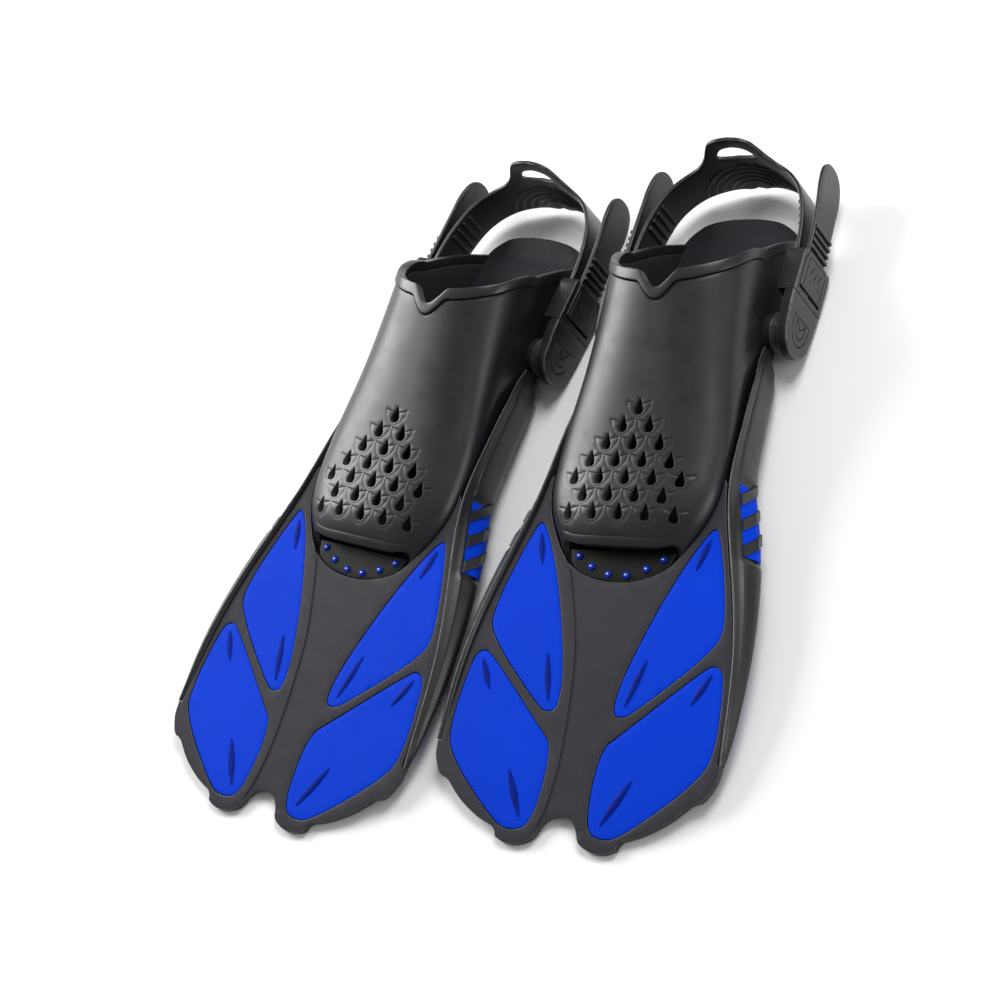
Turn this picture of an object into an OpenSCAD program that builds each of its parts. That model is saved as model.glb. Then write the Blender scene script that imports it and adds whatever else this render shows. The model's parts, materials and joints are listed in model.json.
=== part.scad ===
// A pair of open-heel swim fins lying soles down, side by side, blade tips toward -Y.
// Each fin is drawn once in its own frame and placed twice.
// Fin frame: x across the blade, y from the tip notch toward the heel, z up from the blade's top face.
// Side parts are drawn on the +x side and mirrored. Lengths are in millimetres.

/* [Placing] */
// part to show, or all of them
// half the distance between the two tip notches
pair_x = 121; // [120:0.5:160]
// how far each fin's heel turns toward its neighbour, degrees
pair_yaw = 4.5; // [0:0.1:5]
// nose-up lean of a fin that stands on its tip and its heel, degrees
lean = 8.18; // [7:0.02:10]
// distance from the tip notches forward of the middle of the pair
pair_y = 241.3; // [200:0.1:280]
// how far the right fin lies ahead of the left one, toward its heel
pair_stagger = 25; // [0:1:60]

/* [Blade] */
// thickness of the blade plate
blade_t = 5; // [4:0.5:8]
// depth of the centre channel below the wings
channel_d = 0.8; // [0.4:0.1:1.5]
// thickness of a soft panel
panel_t = 3.9; // [3:0.1:4.5]
// how far a panel's face lies below the wings
panel_sink = 0.4; // [0.2:0.1:1]
// gap between a panel and its window
panel_gap = 0.15; // [0.1:0.05:0.4]
// height of the leaf-shaped ridges on the panels
leaf_h = 0.7; // [0.3:0.1:1.2]
// height of the side rail's crest above the blade
crest_h = 3; // [1:0.5:5]

/* [Foot pocket] */
// wall thickness of the rubber pocket
wall = 4.5; // [3:0.5:6]
// thickness of the stiff footbed
bed_t = 7; // [5:0.5:10]
// thickness of the tread under the heel
tread_t = 2; // [1.5:0.5:4]
// width of the raised band round the ankle opening
band_w = 8; // [5:0.5:12]
// how far the band stands proud of the pocket
band_h = 1.6; // [1:0.2:3]
// depth of the notch at the front of the band
vee_d = 14; // [8:1:20]
// length of a drain hole
drop_l = 11.5; // [7:0.5:12]
// width of a drain hole
drop_w = 6.5; // [4:0.5:7]
// radius of a toe stud
stud_r = 1.9; // [1.2:0.1:2.5]

/* [Strap and buckles] */
// distance of the strap pivots from the tip notch
pivot_y = 365; // [355:1:375]
// height of the strap pivots, from the blade's top face
pivot_z = -38; // [-42:1:-34]
// how far the buckles point down toward the heel, degrees
buckle_tilt = 6; // [0:1:10]
// radius of a pivot post
post_r = 9; // [7:0.5:11]
// radial play of a buckle arm on its post
post_play = 0.06; // [0.02:0.02:0.1]
// radius of a buckle's rounded lower end
arm_r = 19; // [16:0.5:21]
// half width of a buckle
buckle_hw = 21; // [19:0.5:22]
// distance from the pivot to the split between arm and clip
split_u = 23; // [20:0.5:26]
// distance from the pivot to the clip's far end
clip_u = 57; // [52:0.5:60]
// thickness of the heel strap
strap_t = 3; // [2.5:0.1:3.2]
// half the width of the heel strap's ends
strap_hw = 15; // [12:0.5:16]
// radius of the lever pin
pin_r = 1.5; // [1.2:0.1:2]
// distance of the lever pin from the fin's middle
lever_x = 72.4; // [72:0.1:73]
// distance of the lever pin from the pivot
lever_u = 32.4; // [32:0.1:34]
// radius of the bar that the strap turns round
bar_r = 2; // [1.6:0.1:2.4]

/* [Hidden] */

c_frame = [0.16, 0.16, 0.17];
c_rubber = [0.09, 0.09, 0.10];
c_blue = [0.02, 0.16, 0.75];
c_bed = [0.13, 0.13, 0.15];
c_metal = [0.62, 0.64, 0.70];
c_buckle = [0.22, 0.22, 0.23];
c_band = [0.28, 0.28, 0.30];

gap = 0.1;                       // between fixed neighbours
louvre_gap = 0.5;                // behind the louvre inserts
sole_slope = tan(11);            // the footbed falls away from the blade toward the heel
toe_y = 170;                     // where the footbed starts to fall
bed_top_toe = -9;                // footbed's top face there
heel_y = 466;                    // back end of the footbed
tip_y = -22;                     // lowest points of the two lobes
stand_z = -(tip_y * sin(lean) - blade_t * cos(lean));

function mix(a, b, t) = a + (b - a) * t;
function bed_top(y) = bed_top_toe - sole_slope * (y - toe_y);
// one round of corner cutting on a closed outline, k is the share cut at each end of a side
function cut(p, k) = [for (i = [0:len(p) - 1]) let (a = p[i], b = p[(i + 1) % len(p)])
  each [mix(a, b, k), mix(b, a, k)]];
function smooth(p, n) = n == 0 ? p : smooth(cut(p, 0.25), n - 1);
function mirrored(p) = concat(p, [for (i = [len(p) - 1:-1:0]) if (p[i][0] > 0.01) [-p[i][0], p[i][1]]]);
function slope_pt(tab, i) = [for (j = [0:1]) (tab[min(i + 1, len(tab) - 1)][j] - tab[max(i - 1, 0)][j]) / 2];
// points of a smooth open curve through a short list
function curve(p, n) = [for (i = [0:len(p) - 2], k = [0:n - 1]) let (t = k / n, a = slope_pt(p, i),
  b = slope_pt(p, i + 1), q = p[i], r = p[i + 1])
  [for (j = [0:1]) (2 * pow(t, 3) - 3 * t * t + 1) * q[j] + (pow(t, 3) - 2 * t * t + t) * a[j]
  + (3 * t * t - 2 * pow(t, 3)) * r[j] + (pow(t, 3) - t * t) * b[j]], p[len(p) - 1]];

// ---- outlines, one half, from the tip notch outward ----
notch = curve([[0, 0.5], [8, -1.5], [13, -7], [18, -16], [26, -20.5], [34, -21.8], [41, -20.5], [46, -18]], 3);
scallops = [[47.5, -14], [51, -11], [64, -5.5], [80, 4.5], [93.5, 17], [98, 18.6], [103, 23]];
shoulder = curve([[107, 30], [109.2, 37], [109.5, 43.85]], 3);
// crest of the side rail: distance along the fin, half distance across, height
crest = [[44, 109.5, 0.4], [60, 108.5, 1.5], [80, 107.3, 2.6], [100, 105.3, 3], [120, 102.3, 3],
  [140, 98.1, 3], [160, 92.8, 3], [180, 86.8, 3], [200, 80.8, 3], [220, 75.4, 2.7], [240, 71.9, 1.8],
  [260, 70.2, -0.4], [280, 68.9, -3.8], [300, 66.8, -8.5], [320, 64.4, -14.5], [338, 61.6, -22]];
function crest_x(y) = lookup(y, [for (c = crest) [c[0], c[1]]]);
function crest_z(y) = lookup(y, [for (c = crest) [c[0], c[2] * crest_h / 3]]);
function rail_in(y) = mix(crest_x(y) - 3, pocket_w(y) + 0.15, min(1, max(0, (y - 234) / 16)));
// outer edge of the rail and its underside
function rail_out(y) = lookup(y, [[44, 110.5], [60, 112.3], [80, 113], [100, 112.6], [120, 111.2],
  [140, 108.6], [160, 105.2], [180, 100.6], [200, 94.8], [220, 87.5], [240, 79.5], [260, 74],
  [280, 71.2], [300, 68.6], [320, 66], [338, 63.2]]);
function rail_low(y) = lookup(y, [[44, -5], [100, -9], [160, -17], [200, -24], [240, -31], [300, -43],
  [338, -51]]);

// widest half width of the pocket, its crown height, and the level of its widest line
function pocket_w(y) = lookup(y, [[176, 43.5], [186, 48], [195, 53.5], [205, 59], [215, 63], [226, 65.6],
  [240, 66.4], [260, 66.2], [283, 64.4], [300, 62.2], [320, 60], [340, 58.4], [360, 57.2], [380, 56.4],
  [400, 55.4], [413, 54.4], [433, 53.4], [449, 51.6]]);
function pocket_top(y) = lookup(y, [[176, 3.5], [186, 8], [195, 12.2], [207, 15.4], [220, 16.3],
  [258, 17.3], [283, 19.6], [310, 23.2], [340, 28], [379, 34.6], [413, 38.5], [449, 41]]);
widest_z = -6;
crown_n = 2.5;

// rim of the ankle opening: share of the way from crown to footbed, distance along the fin
function rim_y(s) = lookup(s, [[0, 379], [0.09, 380.6], [0.15, 383.2], [0.2, 386.2], [0.26, 390.4],
  [0.32, 395.6], [0.38, 402], [0.45, 409.4], [0.5, 413.4], [0.6, 421], [0.77, 433.5], [1, 448.6]])
  - vee_d * max(0, 1 - s / 0.055);
function lip_y(s) = lookup(s, [[0, 186.5], [0.2, 187.5], [0.32, 190], [0.4, 188], [0.5, 181], [1, 177.5]]);
ring_s = [0, 0.028, 0.055, 0.1, 0.15, 0.2, 0.26, 0.32, 0.38, 0.44, 0.5, 0.6, 0.77, 1];
// point on the pocket, inset by d, at share s round from the crown and distance y along the fin
function skin(y, s, d) = let (f = 180 * min(s, 0.5), w = pocket_w(y) - d, h = pocket_top(y) - d,
  low = bed_top(y) + gap)
  s <= 0.5 ? [w * pow(sin(f), 2 / crown_n), y, widest_z + (h - widest_z) * pow(max(cos(f), 0), 2 / crown_n)]
  : [w * (1 - 0.06 * (s - 0.5) * 2), y, mix(widest_z, low, (s - 0.5) * 2)];
function both(a) = concat([for (i = [len(a) - 1:-1:1]) [-a[i][0], a[i][1], a[i][2]]], a);
// closed loop of one ring: outside from left to right, inside back again
function ring(ys, d0, d1) = concat(both([for (i = [0:len(ring_s) - 1]) skin(ys[i], ring_s[i], d0)]),
  [for (p = rev(both([for (i = [0:len(ring_s) - 1]) skin(ys[i], ring_s[i], d1)]))) p]);
function rev(p) = [for (i = [len(p) - 1:-1:0]) p[i]];

// a closed tube of rings; every ring has the same number of points
module loft(rings) {
  m = len(rings[0]);
  n = len(rings);
  pts = [for (r = rings) each r];
  sides = [for (i = [0:n - 2], j = [0:m - 1]) let (a = i * m + j, b = i * m + (j + 1) % m)
    each [[a, b, b + m], [a, b + m, a + m]]];
  polyhedron(pts, concat([[for (j = [m - 1:-1:0]) j]], sides, [[for (j = [0:m - 1]) (n - 1) * m + j]]));
}

// a shell of thin open rings: end faces are strips of quads, so they may bend
module shell(rings) {
  m = len(rings[0]);
  h = m / 2;
  n = len(rings);
  pts = [for (r = rings) each r];
  sides = [for (i = [0:n - 2], j = [0:m - 1]) let (a = i * m + j, b = i * m + (j + 1) % m)
    each [[a, b, b + m], [a, b + m, a + m]]];
  first = [for (j = [0:h - 2]) let (k = m - 1 - j) each [[j, k, k - 1], [j, k - 1, j + 1]]];
  last = [for (f = first) [for (k = [2, 1, 0]) f[k] + (n - 1) * m]];
  polyhedron(pts, concat(first, sides, last));
}

// ---- placing ----
module fin(side) {
  translate([side * pair_x, side * pair_stagger / 2 - pair_y, stand_z])
    rotate([0, 0, side * pair_yaw])
      rotate([lean, 0, 0])
        children();
}

module flip(side) {
  if (side < 0) mirror([1, 0, 0]) children();
  else children();
}

// frame of a buckle: origin on the pivot, y toward the heel along the strap, x still across the fin
module buckle(side) {
  flip(side)
    translate([0, pivot_y, pivot_z])
      rotate([-buckle_tilt, 0, 0])
        children();
}

// ---- blade ----
panel_up = smooth([[66, 207], [73, 200], [92, 137], [86, 117], [38, 72], [29, 69], [21, 72], [23, 98],
  [42, 158]], 3);
panel_low = smooth([[90, 111.5], [98, 104], [103, 55], [97, 34], [50, -8.5], [35, -13], [20, -7], [18, 46],
  [30, 60], [82, 109.5]], 3);
crease = curve([[38, 174], [27, 144], [17.5, 111], [12.5, 74], [10.4, 43], [10.6, 22], [13, 2], [16.5, -8]], 3);
window = curve([[0, 163.5], [10, 164.2], [20, 166.2], [31, 170.3], [40.5, 176]], 3);

module half_plates() {
  back = [for (y = [186, 195, 205, 215, 226, 240]) [pocket_w(y) + 0.6, y]];
  edge = [[rail_in(44) - gap, 43.85], for (y = [52:8:236]) [rail_in(y) - gap, y]];
  half = concat(notch, scallops, shoulder, edge, rev(back), rev(window));
  polygon(concat(half, [for (i = [len(half) - 2:-1:1]) [-half[i][0], half[i][1]]]));
}

module panel_windows(grow) {
  for (s = [-1, 1])
    flip(s) {
      polygon([for (p = panel_up) around(p, [57, 137], grow)]);
      polygon([for (p = panel_low) around(p, [60, 45], grow)]);
    }
}
// moves an outline point away from the middle by a small step
function around(p, c, g) = p + (p - c) * g / norm(p - c);

module blade() {
  difference() {
    translate([0, 0, -blade_t])
      linear_extrude(blade_t)
        difference() {
          half_plates();
          panel_windows(panel_gap * 1.4);
        }
    translate([0, 0, -channel_d])
      linear_extrude(2)
        polygon(concat(crease, [[10, -20], [-10, -20]], [for (p = rev(crease)) [-p[0], p[1]]]));
  }
}

module leaf(at, to, w) {
  d = to - at;
  l = norm(d) / 2;
  r = (l * l + w * w) / (2 * w);
  translate((at + to) / 2)
    rotate(atan2(d[1], d[0]))
      intersection() {
        translate([0, r - w]) circle(r, $fn = 120);
        translate([0, w - r]) circle(r, $fn = 120);
      }
}

module panel(shape, a, b) {
  translate([0, 0, -panel_sink - panel_t])
    linear_extrude(panel_t)
      polygon(shape);
  translate([0, 0, -panel_sink - 0.3])
    linear_extrude(leaf_h + 0.3) {
      leaf(a[0], a[1], 2.1);
      leaf(b[0], b[1], 2.5);
    }
}

module panel_upper() {
  panel(panel_up, [[66, 195], [60, 175]], [[38, 108], [29.5, 77]]);
}

module panel_lower() {
  panel(panel_low, [[88, 101], [78, 82]], [[46, 26], [31.5, -3]]);
}

// ---- side rail: a crested bar that runs from the lobe's shoulder along the pocket ----
function rail_ring(y) = let (xi = rail_in(y), xc = crest_x(y), xo = rail_out(y), zc = crest_z(y),
  zl = rail_low(y), lean_in = max(0, min(1, (y - 240) / 14)) * (pocket_w(y) * 0.06 - 0.2),
  cut_out = louvre_cut(y)) [
  [xi - lean_in, y, zl], [xo - 3, y, zl], [xo - 0.4 - cut_out, y, mix(zl, zc, 0.18)],
  [xo - cut_out, y, mix(zl, zc, 0.42)],
  [mix(xc, xo, 0.55) - cut_out * 0.7, y, mix(zl, zc, 0.74)], [xc + 1, y, zc - 0.4], [xc - 0.6, y, zc],
  [xi, y, min(zc - 1.6, mix(zl, zc, 0.8))]];
// the rail is set back along the louvres, so their insert lies in a trough
function louvre_cut(y) = lookup(y, [[182, 0], [186, 2.2], [242, 2.2], [246, 0]]);
// stations of the louvre insert: slats 12 mm long, 22 mm apart, with sunk strips between
louvre_y = [187, 188, 199, 200, 209, 210, 221, 222, 231, 232, 239.5];
rail_y = concat([44, 52, 60, 70, 80, 90, 100, 112, 124, 136, 148, 160, 172, 178, 182, 186], louvre_y,
  [242, 246, 256, 268, 280, 292, 304, 316, 328, 338]);

module rail() {
  loft([for (y = rail_y) rail_ring(y)]);
}

// ---- louvre insert: a strip in the rail's trough, crossed by three raised slats ----
function louvre_ring(y, d) = let (xc = crest_x(y), xo = rail_out(y), zc = crest_z(y), zl = rail_low(y),
  c = louvre_cut(y)) [
  [xo - 0.4 - c + louvre_gap, y, mix(zl, zc, 0.18)], [xo - 0.4 + d, y, mix(zl, zc, 0.18)],
  [xo + d, y, mix(zl, zc, 0.42)], [mix(xc, xo, 0.55) + d, y, mix(zl, zc, 0.74)],
  [mix(xc, xo, 0.55) - c * 0.7 + louvre_gap, y, mix(zl, zc, 0.74)], [xo - c + louvre_gap, y, mix(zl, zc, 0.42)]];

module louvre() {
  loft([for (i = [0:len(louvre_y) - 1]) louvre_ring(louvre_y[i], (i + 3) % 4 < 2 ? 0.9 : -0.7)]);
}

// ---- foot pocket ----
rings_t = [0, 0.02, 0.06, 0.11, 0.17, 0.24, 0.32, 0.4, 0.48, 0.56, 0.64, 0.72, 0.8, 0.87, 0.94, 1];
function ring_ys(t, back) = [for (s = ring_s) mix(lip_y(s), rim_y(s) - back, t)];

module pocket_shell() {
  shell([for (t = rings_t) ring(ring_ys(t, band_w + gap), 0, wall)]);
}

// drain holes stand in rows of 1 to 5, 12.5 mm apart, and then 4 and 5 again
rows = [[283, 1], [270.5, 2], [258, 3], [245.5, 4], [233, 5], [220.5, 4], [208, 5]];
module drops() {
  for (r = rows, k = [0:r[1] - 1])
    translate([(k - (r[1] - 1) / 2) * 20.8, r[0], -2])
      linear_extrude(40)
        polygon([[0, drop_l * 0.6], [drop_w * 0.3, drop_l * 0.18], [drop_w * 0.5, -drop_l * 0.12],
          [drop_w * 0.36, -drop_l * 0.33], [0, -drop_l * 0.4], [-drop_w * 0.36, -drop_l * 0.33],
          [-drop_w * 0.5, -drop_l * 0.12], [-drop_w * 0.3, drop_l * 0.18]]);
}

module pocket() {
  difference() {
    pocket_shell();
    drops();
    for (s = [-1, 1])
      buckle(s)
        translate([54.2, 0, 0])
          rotate([0, 90, 0])
            cylinder(r = 13 + gap, h = 12, $fn = 64);
  }
}

module rim_band() {
  shell([for (b = [band_w, band_w * 0.8, band_w * 0.2, 0])
    ring([for (s = ring_s) rim_y(s) - b], (b == 0 || b == band_w) ? -band_h * 0.6 : -band_h, wall)]);
}

// ---- footbed: plan outline crossed with a side profile ----
bed_half = curve([[0, 163.85], [20, 166.6], [31, 170.8], [37.5, 175.5], [40.5, 184], [43.5, 191], [51, 198],
  [56.5, 208], [61.6, 226], [61.8, 250], [60.5, 275], [57.8, 300], [54.6, 330], [53, 365], [52, 400],
  [50, 430], [46.5, 450], [33, 462], [15, 466], [0, 466.6]], 3);

module footbed() {
  intersection() {
    translate([0, 0, -90])
      linear_extrude(100)
        polygon(mirrored(bed_half));
    rotate([90, 0, 90])
      translate([0, 0, -80])
        linear_extrude(160)
          polygon([[163, -2], [186, -2], [192, bed_top(192)], [449.5, bed_top(449.5)], [458, bed_top(458) + 2],
            [heel_y + 2, bed_top(heel_y) + 7], [heel_y + 2, bed_top(heel_y) - bed_t + 3],
            [heel_y - 3, bed_top(heel_y - 3) - bed_t], [toe_y + 8, bed_top(toe_y + 8) - bed_t], [163, -11]]);
  }
}

// rubber tread: a heel pad with cross grooves and two bars under the ball of the foot
module tread() {
  translate([0, toe_y, bed_top_toe - bed_t - gap])
    rotate([-11, 0, 0])
      translate([0, 0, -tread_t]) {
        for (k = [0:5])
          translate([-40 + abs(k - 2) * 1.5, 222 + 12.4 * k, 0])
            cube([80 - abs(k - 2) * 3, 9, tread_t]);
        for (k = [0:4])
          translate([-46 + abs(k - 2), 60 + 13 * k, 0])
            cube([92 - 2 * abs(k - 2), 9, tread_t]);
      }
}

// ---- toe studs in the drain window ----
module studs() {
  for (p = [[33, 181.5], [21.5, 174.2], [7.2, 169.2]], s = [-1, 1])
    translate([s * p[0], p[1], -2 + gap])
      rotate_extrude($fn = 48)
        polygon([[0, 0], [stud_r + 1.1, 0], [stud_r + 1.1, 0.9], [stud_r, 1.3], [stud_r * 0.9, 2.6],
          [stud_r * 0.5, 3.1], [0, 3.2]]);
}

// ---- strap pivots ----
module post() {
  translate([54.4, 0, 0])
    rotate([0, 90, 0]) {
      cylinder(r = 13, h = 5, $fn = 96);
      cylinder(r = post_r, h = 13.8, $fn = 96);
    }
}

module tombstone(r, u, hw) {
  hull_pts = concat([[hw, u], [-hw, u]], [for (a = [190:10:350]) [r * cos(a), r * sin(a)]]);
  polygon(hull_pts);
}

module arm() {
  difference() {
    union() {
      translate([60, 0, 0])
        rotate([0, 90, 0])
          cylinder(r = 14, h = 9, $fn = 96);
      sheet(68.8, 77) tombstone(arm_r, split_u, buckle_hw);
      translate([68.8 - 5.2, 10, -buckle_hw + 3])
        cube([6, split_u - 10, 2 * buckle_hw - 6]);
    }
    translate([59, 0, 0])
      rotate([0, 90, 0])
        cylinder(r = post_r + post_play, h = 9.8, $fn = 96);
    translate([70.6, 5.5, -10.3])
      cube([4.2, split_u, 20.6]);
    engraving(77 - 0.5);
  }
}

// lays a drawing (across, along) into the buckle plane between two distances from the fin's middle
module sheet(x0, x1) {
  multmatrix([[0, 0, 1, x0], [0, 1, 0, 0], [1, 0, 0, 0], [0, 0, 0, 1]])
    linear_extrude(x1 - x0)
      children();
}

// a plain drop-shaped maze of three grooves on the arm's face
module engraving(x) {
  for (k = [0:2])
    sheet(x, x + 2)
      difference() {
        offset_drop(13 - 4 * k);
        offset_drop(12.2 - 4 * k);
      }
}

module offset_drop(r) {
  polygon(concat([[0, r * 1.35]], [for (a = [160:20:380]) [r * 0.8 * cos(a), r * 0.8 * sin(a)]]));
}

// ---- upper clip: two cheeks, a nose with a tongue, and a floor ----
module clip() {
  difference() {
    union() {
      for (s = [-1, 1])
        translate([62.4, split_u + 0.4, s > 0 ? 16.6 : -buckle_hw])
          cube([14.6, clip_u - split_u - 0.4, buckle_hw - 16.6]);
      translate([62.4, split_u + 0.4, -buckle_hw])
        cube([14.6, 4, 2 * buckle_hw]);
      translate([71, 6, -10])
        cube([3.4, split_u - 4, 20]);
    }
    translate([0, 44, 0])
      pin_hole(69.5, bar_r);
    translate([0, lever_u, 0])
      pin_hole(lever_x, pin_r);
  }
}

module pin_hole(x, r) {
  translate([x, 0, -buckle_hw - 1])
    cylinder(r = r + 0.01, h = 2 * buckle_hw + 2, $fn = 64);
}

// bar that the strap turns round, and the lever's pin
module bars() {
  translate([69.5, 44, -buckle_hw + 0.5])
    cylinder(r = bar_r, h = 2 * buckle_hw - 1, $fn = 64);
  translate([lever_x, lever_u, -buckle_hw + 0.5])
    cylinder(r = pin_r, h = 2 * buckle_hw - 1, $fn = 64);
}

// lever: a curved grip plate on two barrels, with a tooth over the strap's tail
module lever() {
  difference() {
    union() {
      for (z = [5.6, -16.2]) {
        translate([lever_x, lever_u, z])
          cylinder(r = 2.9, h = 10.6, $fn = 64);
        translate([lever_x, lever_u - 2.9, z])
          cube([3.2, 5.8, 10.6]);
      }
      translate([75.4, lever_u - 2.9, -16.2])
        cube([2.4, 27, 32.4]);
    }
    translate([lever_x, lever_u, -20])
      cylinder(r = pin_r + 0.05, h = 40, $fn = 64);
    for (k = [0:4])
      translate([77.3, 36 + 4 * k, -11 + k])
        cube([2, 1.2, 22 - 2 * k]);
  }
}

// coil round the lever's pin, between the barrels
module spring() {
  translate([lever_x, lever_u, -5])
    difference() {
      cylinder(r = 2.6, h = 10, $fn = 48);
      translate([0, 0, -1])
        cylinder(r = pin_r + 0.05, h = 12, $fn = 48);
    }
}

// ---- heel strap: one ribbon from tail to tail, turned round a bar in each clip ----
// half of its middle line in the buckle frame, from the middle of the heel to the bar
loop_half = curve([[0, 137], [20, 134.5], [40, 125.5], [54, 110], [61.5, 90], [65, 68], [65.7, 50], [65.7, 44]], 4);
tail_half = curve([[73.3, 44], [73.4, 60], [72.6, 84], [70.3, 110], [67, 136]], 4);
turn = [for (a = [180:20:360]) [69.5 + 3.8 * cos(a), 44 + 3.8 * sin(a)]];
half_loop = [for (i = [0:len(loop_half) - 1]) loop_half[i]];
half_tail = concat([[65.7, 45.5]], turn, [for (i = [1:len(tail_half) - 1]) tail_half[i]]);

function normal_at(p, i) = let (a = p[max(i - 1, 0)], b = p[min(i + 1, len(p) - 1)], d = b - a)
  [-d[1], d[0]] / norm(d);
function side_line(p, d) = [for (i = [0:len(p) - 1]) (i == 0 ? p[0] + [0, d] : p[i] + normal_at(p, i) * d)];

module ribbon(line) {
  t = strap_t / 2;
  for (s = [-1, 1])
    flip(s)
      polygon(concat(side_line(line, t), rev(side_line(line, -t))));
}

// height of the band, seen from the side
module loop_side() {
  polygon([[36, -strap_hw], [85, -strap_hw], [112, -17.5], [128, -20], [142, -20], [142, 14], [120, 15.5],
    [85, strap_hw], [36, strap_hw]]);
}

// a tail: a straight run with ladder ribs that widens into a rounded paddle
module tail_side() {
  polygon(concat([[39, -13], [68, -13]], [for (a = [-90:15:90]) [120 + 18 * cos(a), strap_hw * sin(a)]],
    [[68, 13], [39, 13]]));
}

// outline of the pull tab, seen from behind, and its finger slot
module tab_back() {
  difference() {
    polygon(smooth([[-48, 0], [-48, 15], [-35, 15], [-27, 22], [-19, 42], [19, 42], [27, 22], [35, 15], [48, 15],
      [48, 0]], 3));
    polygon(smooth([[-16, 19], [16, 19], [12, 31], [-12, 31]], 3));
  }
}

module across(w) {
  rotate([90, 0, 90])
    translate([0, 0, -w / 2])
      linear_extrude(w)
        children();
}

module strap() {
  intersection() {
    translate([0, 0, -40]) linear_extrude(80) ribbon(half_loop);
    union() {
      across(160) loop_side();
      translate([0, 145, 0]) rotate([90, 0, 0]) linear_extrude(30) tab_back();
    }
  }
  intersection() {
    translate([0, 0, -40]) linear_extrude(80) ribbon(half_tail);
    across(160) tail_side();
  }
  for (s = [-1, 1], k = [0:3])
    flip(s)
      translate([74 - 0.1 * k, 60.5 + 5.5 * k, -13])
        cube([2, 2, 26]);
  for (k = [0:3])
    translate([-24 + 4 * k, 133.6 + 0.1 * k, -10 + 4.5 * k])
      cube([48 - 8 * k, 2, 1.4]);
}

// ---- one module per piece of each fin ----
module left_blade() {
  color(c_frame) fin(-1) blade();
}

module left_rail_l() {
  color(c_frame) fin(-1) flip(-1) rail();
}

module left_rail_r() {
  color(c_frame) fin(-1) rail();
}

module left_panel_ul() {
  color(c_blue) fin(-1) flip(-1) panel_upper();
}

module left_panel_ur() {
  color(c_blue) fin(-1) panel_upper();
}

module left_panel_ll() {
  color(c_blue) fin(-1) flip(-1) panel_lower();
}

module left_panel_lr() {
  color(c_blue) fin(-1) panel_lower();
}

module left_louvre_l() {
  color(c_blue) fin(-1) flip(-1) louvre();
}

module left_louvre_r() {
  color(c_blue) fin(-1) louvre();
}

module left_pocket() {
  color(c_rubber) fin(-1) pocket();
}

module left_rim() {
  color(c_rubber) fin(-1) rim_band();
}

module left_footbed() {
  color(c_bed) fin(-1) footbed();
}

module left_tread() {
  color(c_rubber) fin(-1) tread();
}

module left_studs() {
  color(c_metal) fin(-1) studs();
}

module left_post_l() {
  color(c_bed) fin(-1) buckle(-1) post();
}

module left_post_r() {
  color(c_bed) fin(-1) buckle(1) post();
}

module left_arm_l() {
  color(c_buckle) fin(-1) buckle(-1) arm();
}

module left_arm_r() {
  color(c_buckle) fin(-1) buckle(1) arm();
}

module left_clip_l() {
  color(c_buckle) fin(-1) buckle(-1) clip();
}

module left_clip_r() {
  color(c_buckle) fin(-1) buckle(1) clip();
}

module left_bar_l() {
  color(c_metal) fin(-1) buckle(-1) bars();
}

module left_bar_r() {
  color(c_metal) fin(-1) buckle(1) bars();
}

module left_lever_l() {
  color(c_buckle) fin(-1) buckle(-1) lever();
}

module left_lever_r() {
  color(c_buckle) fin(-1) buckle(1) lever();
}

module left_spring_l() {
  color(c_metal) fin(-1) buckle(-1) spring();
}

module left_spring_r() {
  color(c_metal) fin(-1) buckle(1) spring();
}

module left_strap() {
  color(c_band) fin(-1) buckle(1) strap();
}

module right_blade() {
  color(c_frame) fin(1) blade();
}

module right_rail_l() {
  color(c_frame) fin(1) flip(-1) rail();
}

module right_rail_r() {
  color(c_frame) fin(1) rail();
}

module right_panel_ul() {
  color(c_blue) fin(1) flip(-1) panel_upper();
}

module right_panel_ur() {
  color(c_blue) fin(1) panel_upper();
}

module right_panel_ll() {
  color(c_blue) fin(1) flip(-1) panel_lower();
}

module right_panel_lr() {
  color(c_blue) fin(1) panel_lower();
}

module right_louvre_l() {
  color(c_blue) fin(1) flip(-1) louvre();
}

module right_louvre_r() {
  color(c_blue) fin(1) louvre();
}

module right_pocket() {
  color(c_rubber) fin(1) pocket();
}

module right_rim() {
  color(c_rubber) fin(1) rim_band();
}

module right_footbed() {
  color(c_bed) fin(1) footbed();
}

module right_tread() {
  color(c_rubber) fin(1) tread();
}

module right_studs() {
  color(c_metal) fin(1) studs();
}

module right_post_l() {
  color(c_bed) fin(1) buckle(-1) post();
}

module right_post_r() {
  color(c_bed) fin(1) buckle(1) post();
}

module right_arm_l() {
  color(c_buckle) fin(1) buckle(-1) arm();
}

module right_arm_r() {
  color(c_buckle) fin(1) buckle(1) arm();
}

module right_clip_l() {
  color(c_buckle) fin(1) buckle(-1) clip();
}

module right_clip_r() {
  color(c_buckle) fin(1) buckle(1) clip();
}

module right_bar_l() {
  color(c_metal) fin(1) buckle(-1) bars();
}

module right_bar_r() {
  color(c_metal) fin(1) buckle(1) bars();
}

module right_lever_l() {
  color(c_buckle) fin(1) buckle(-1) lever();
}

module right_lever_r() {
  color(c_buckle) fin(1) buckle(1) lever();
}

module right_spring_l() {
  color(c_metal) fin(1) buckle(-1) spring();
}

module right_spring_r() {
  color(c_metal) fin(1) buckle(1) spring();
}

module right_strap() {
  color(c_band) fin(1) buckle(1) strap();
}

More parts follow.
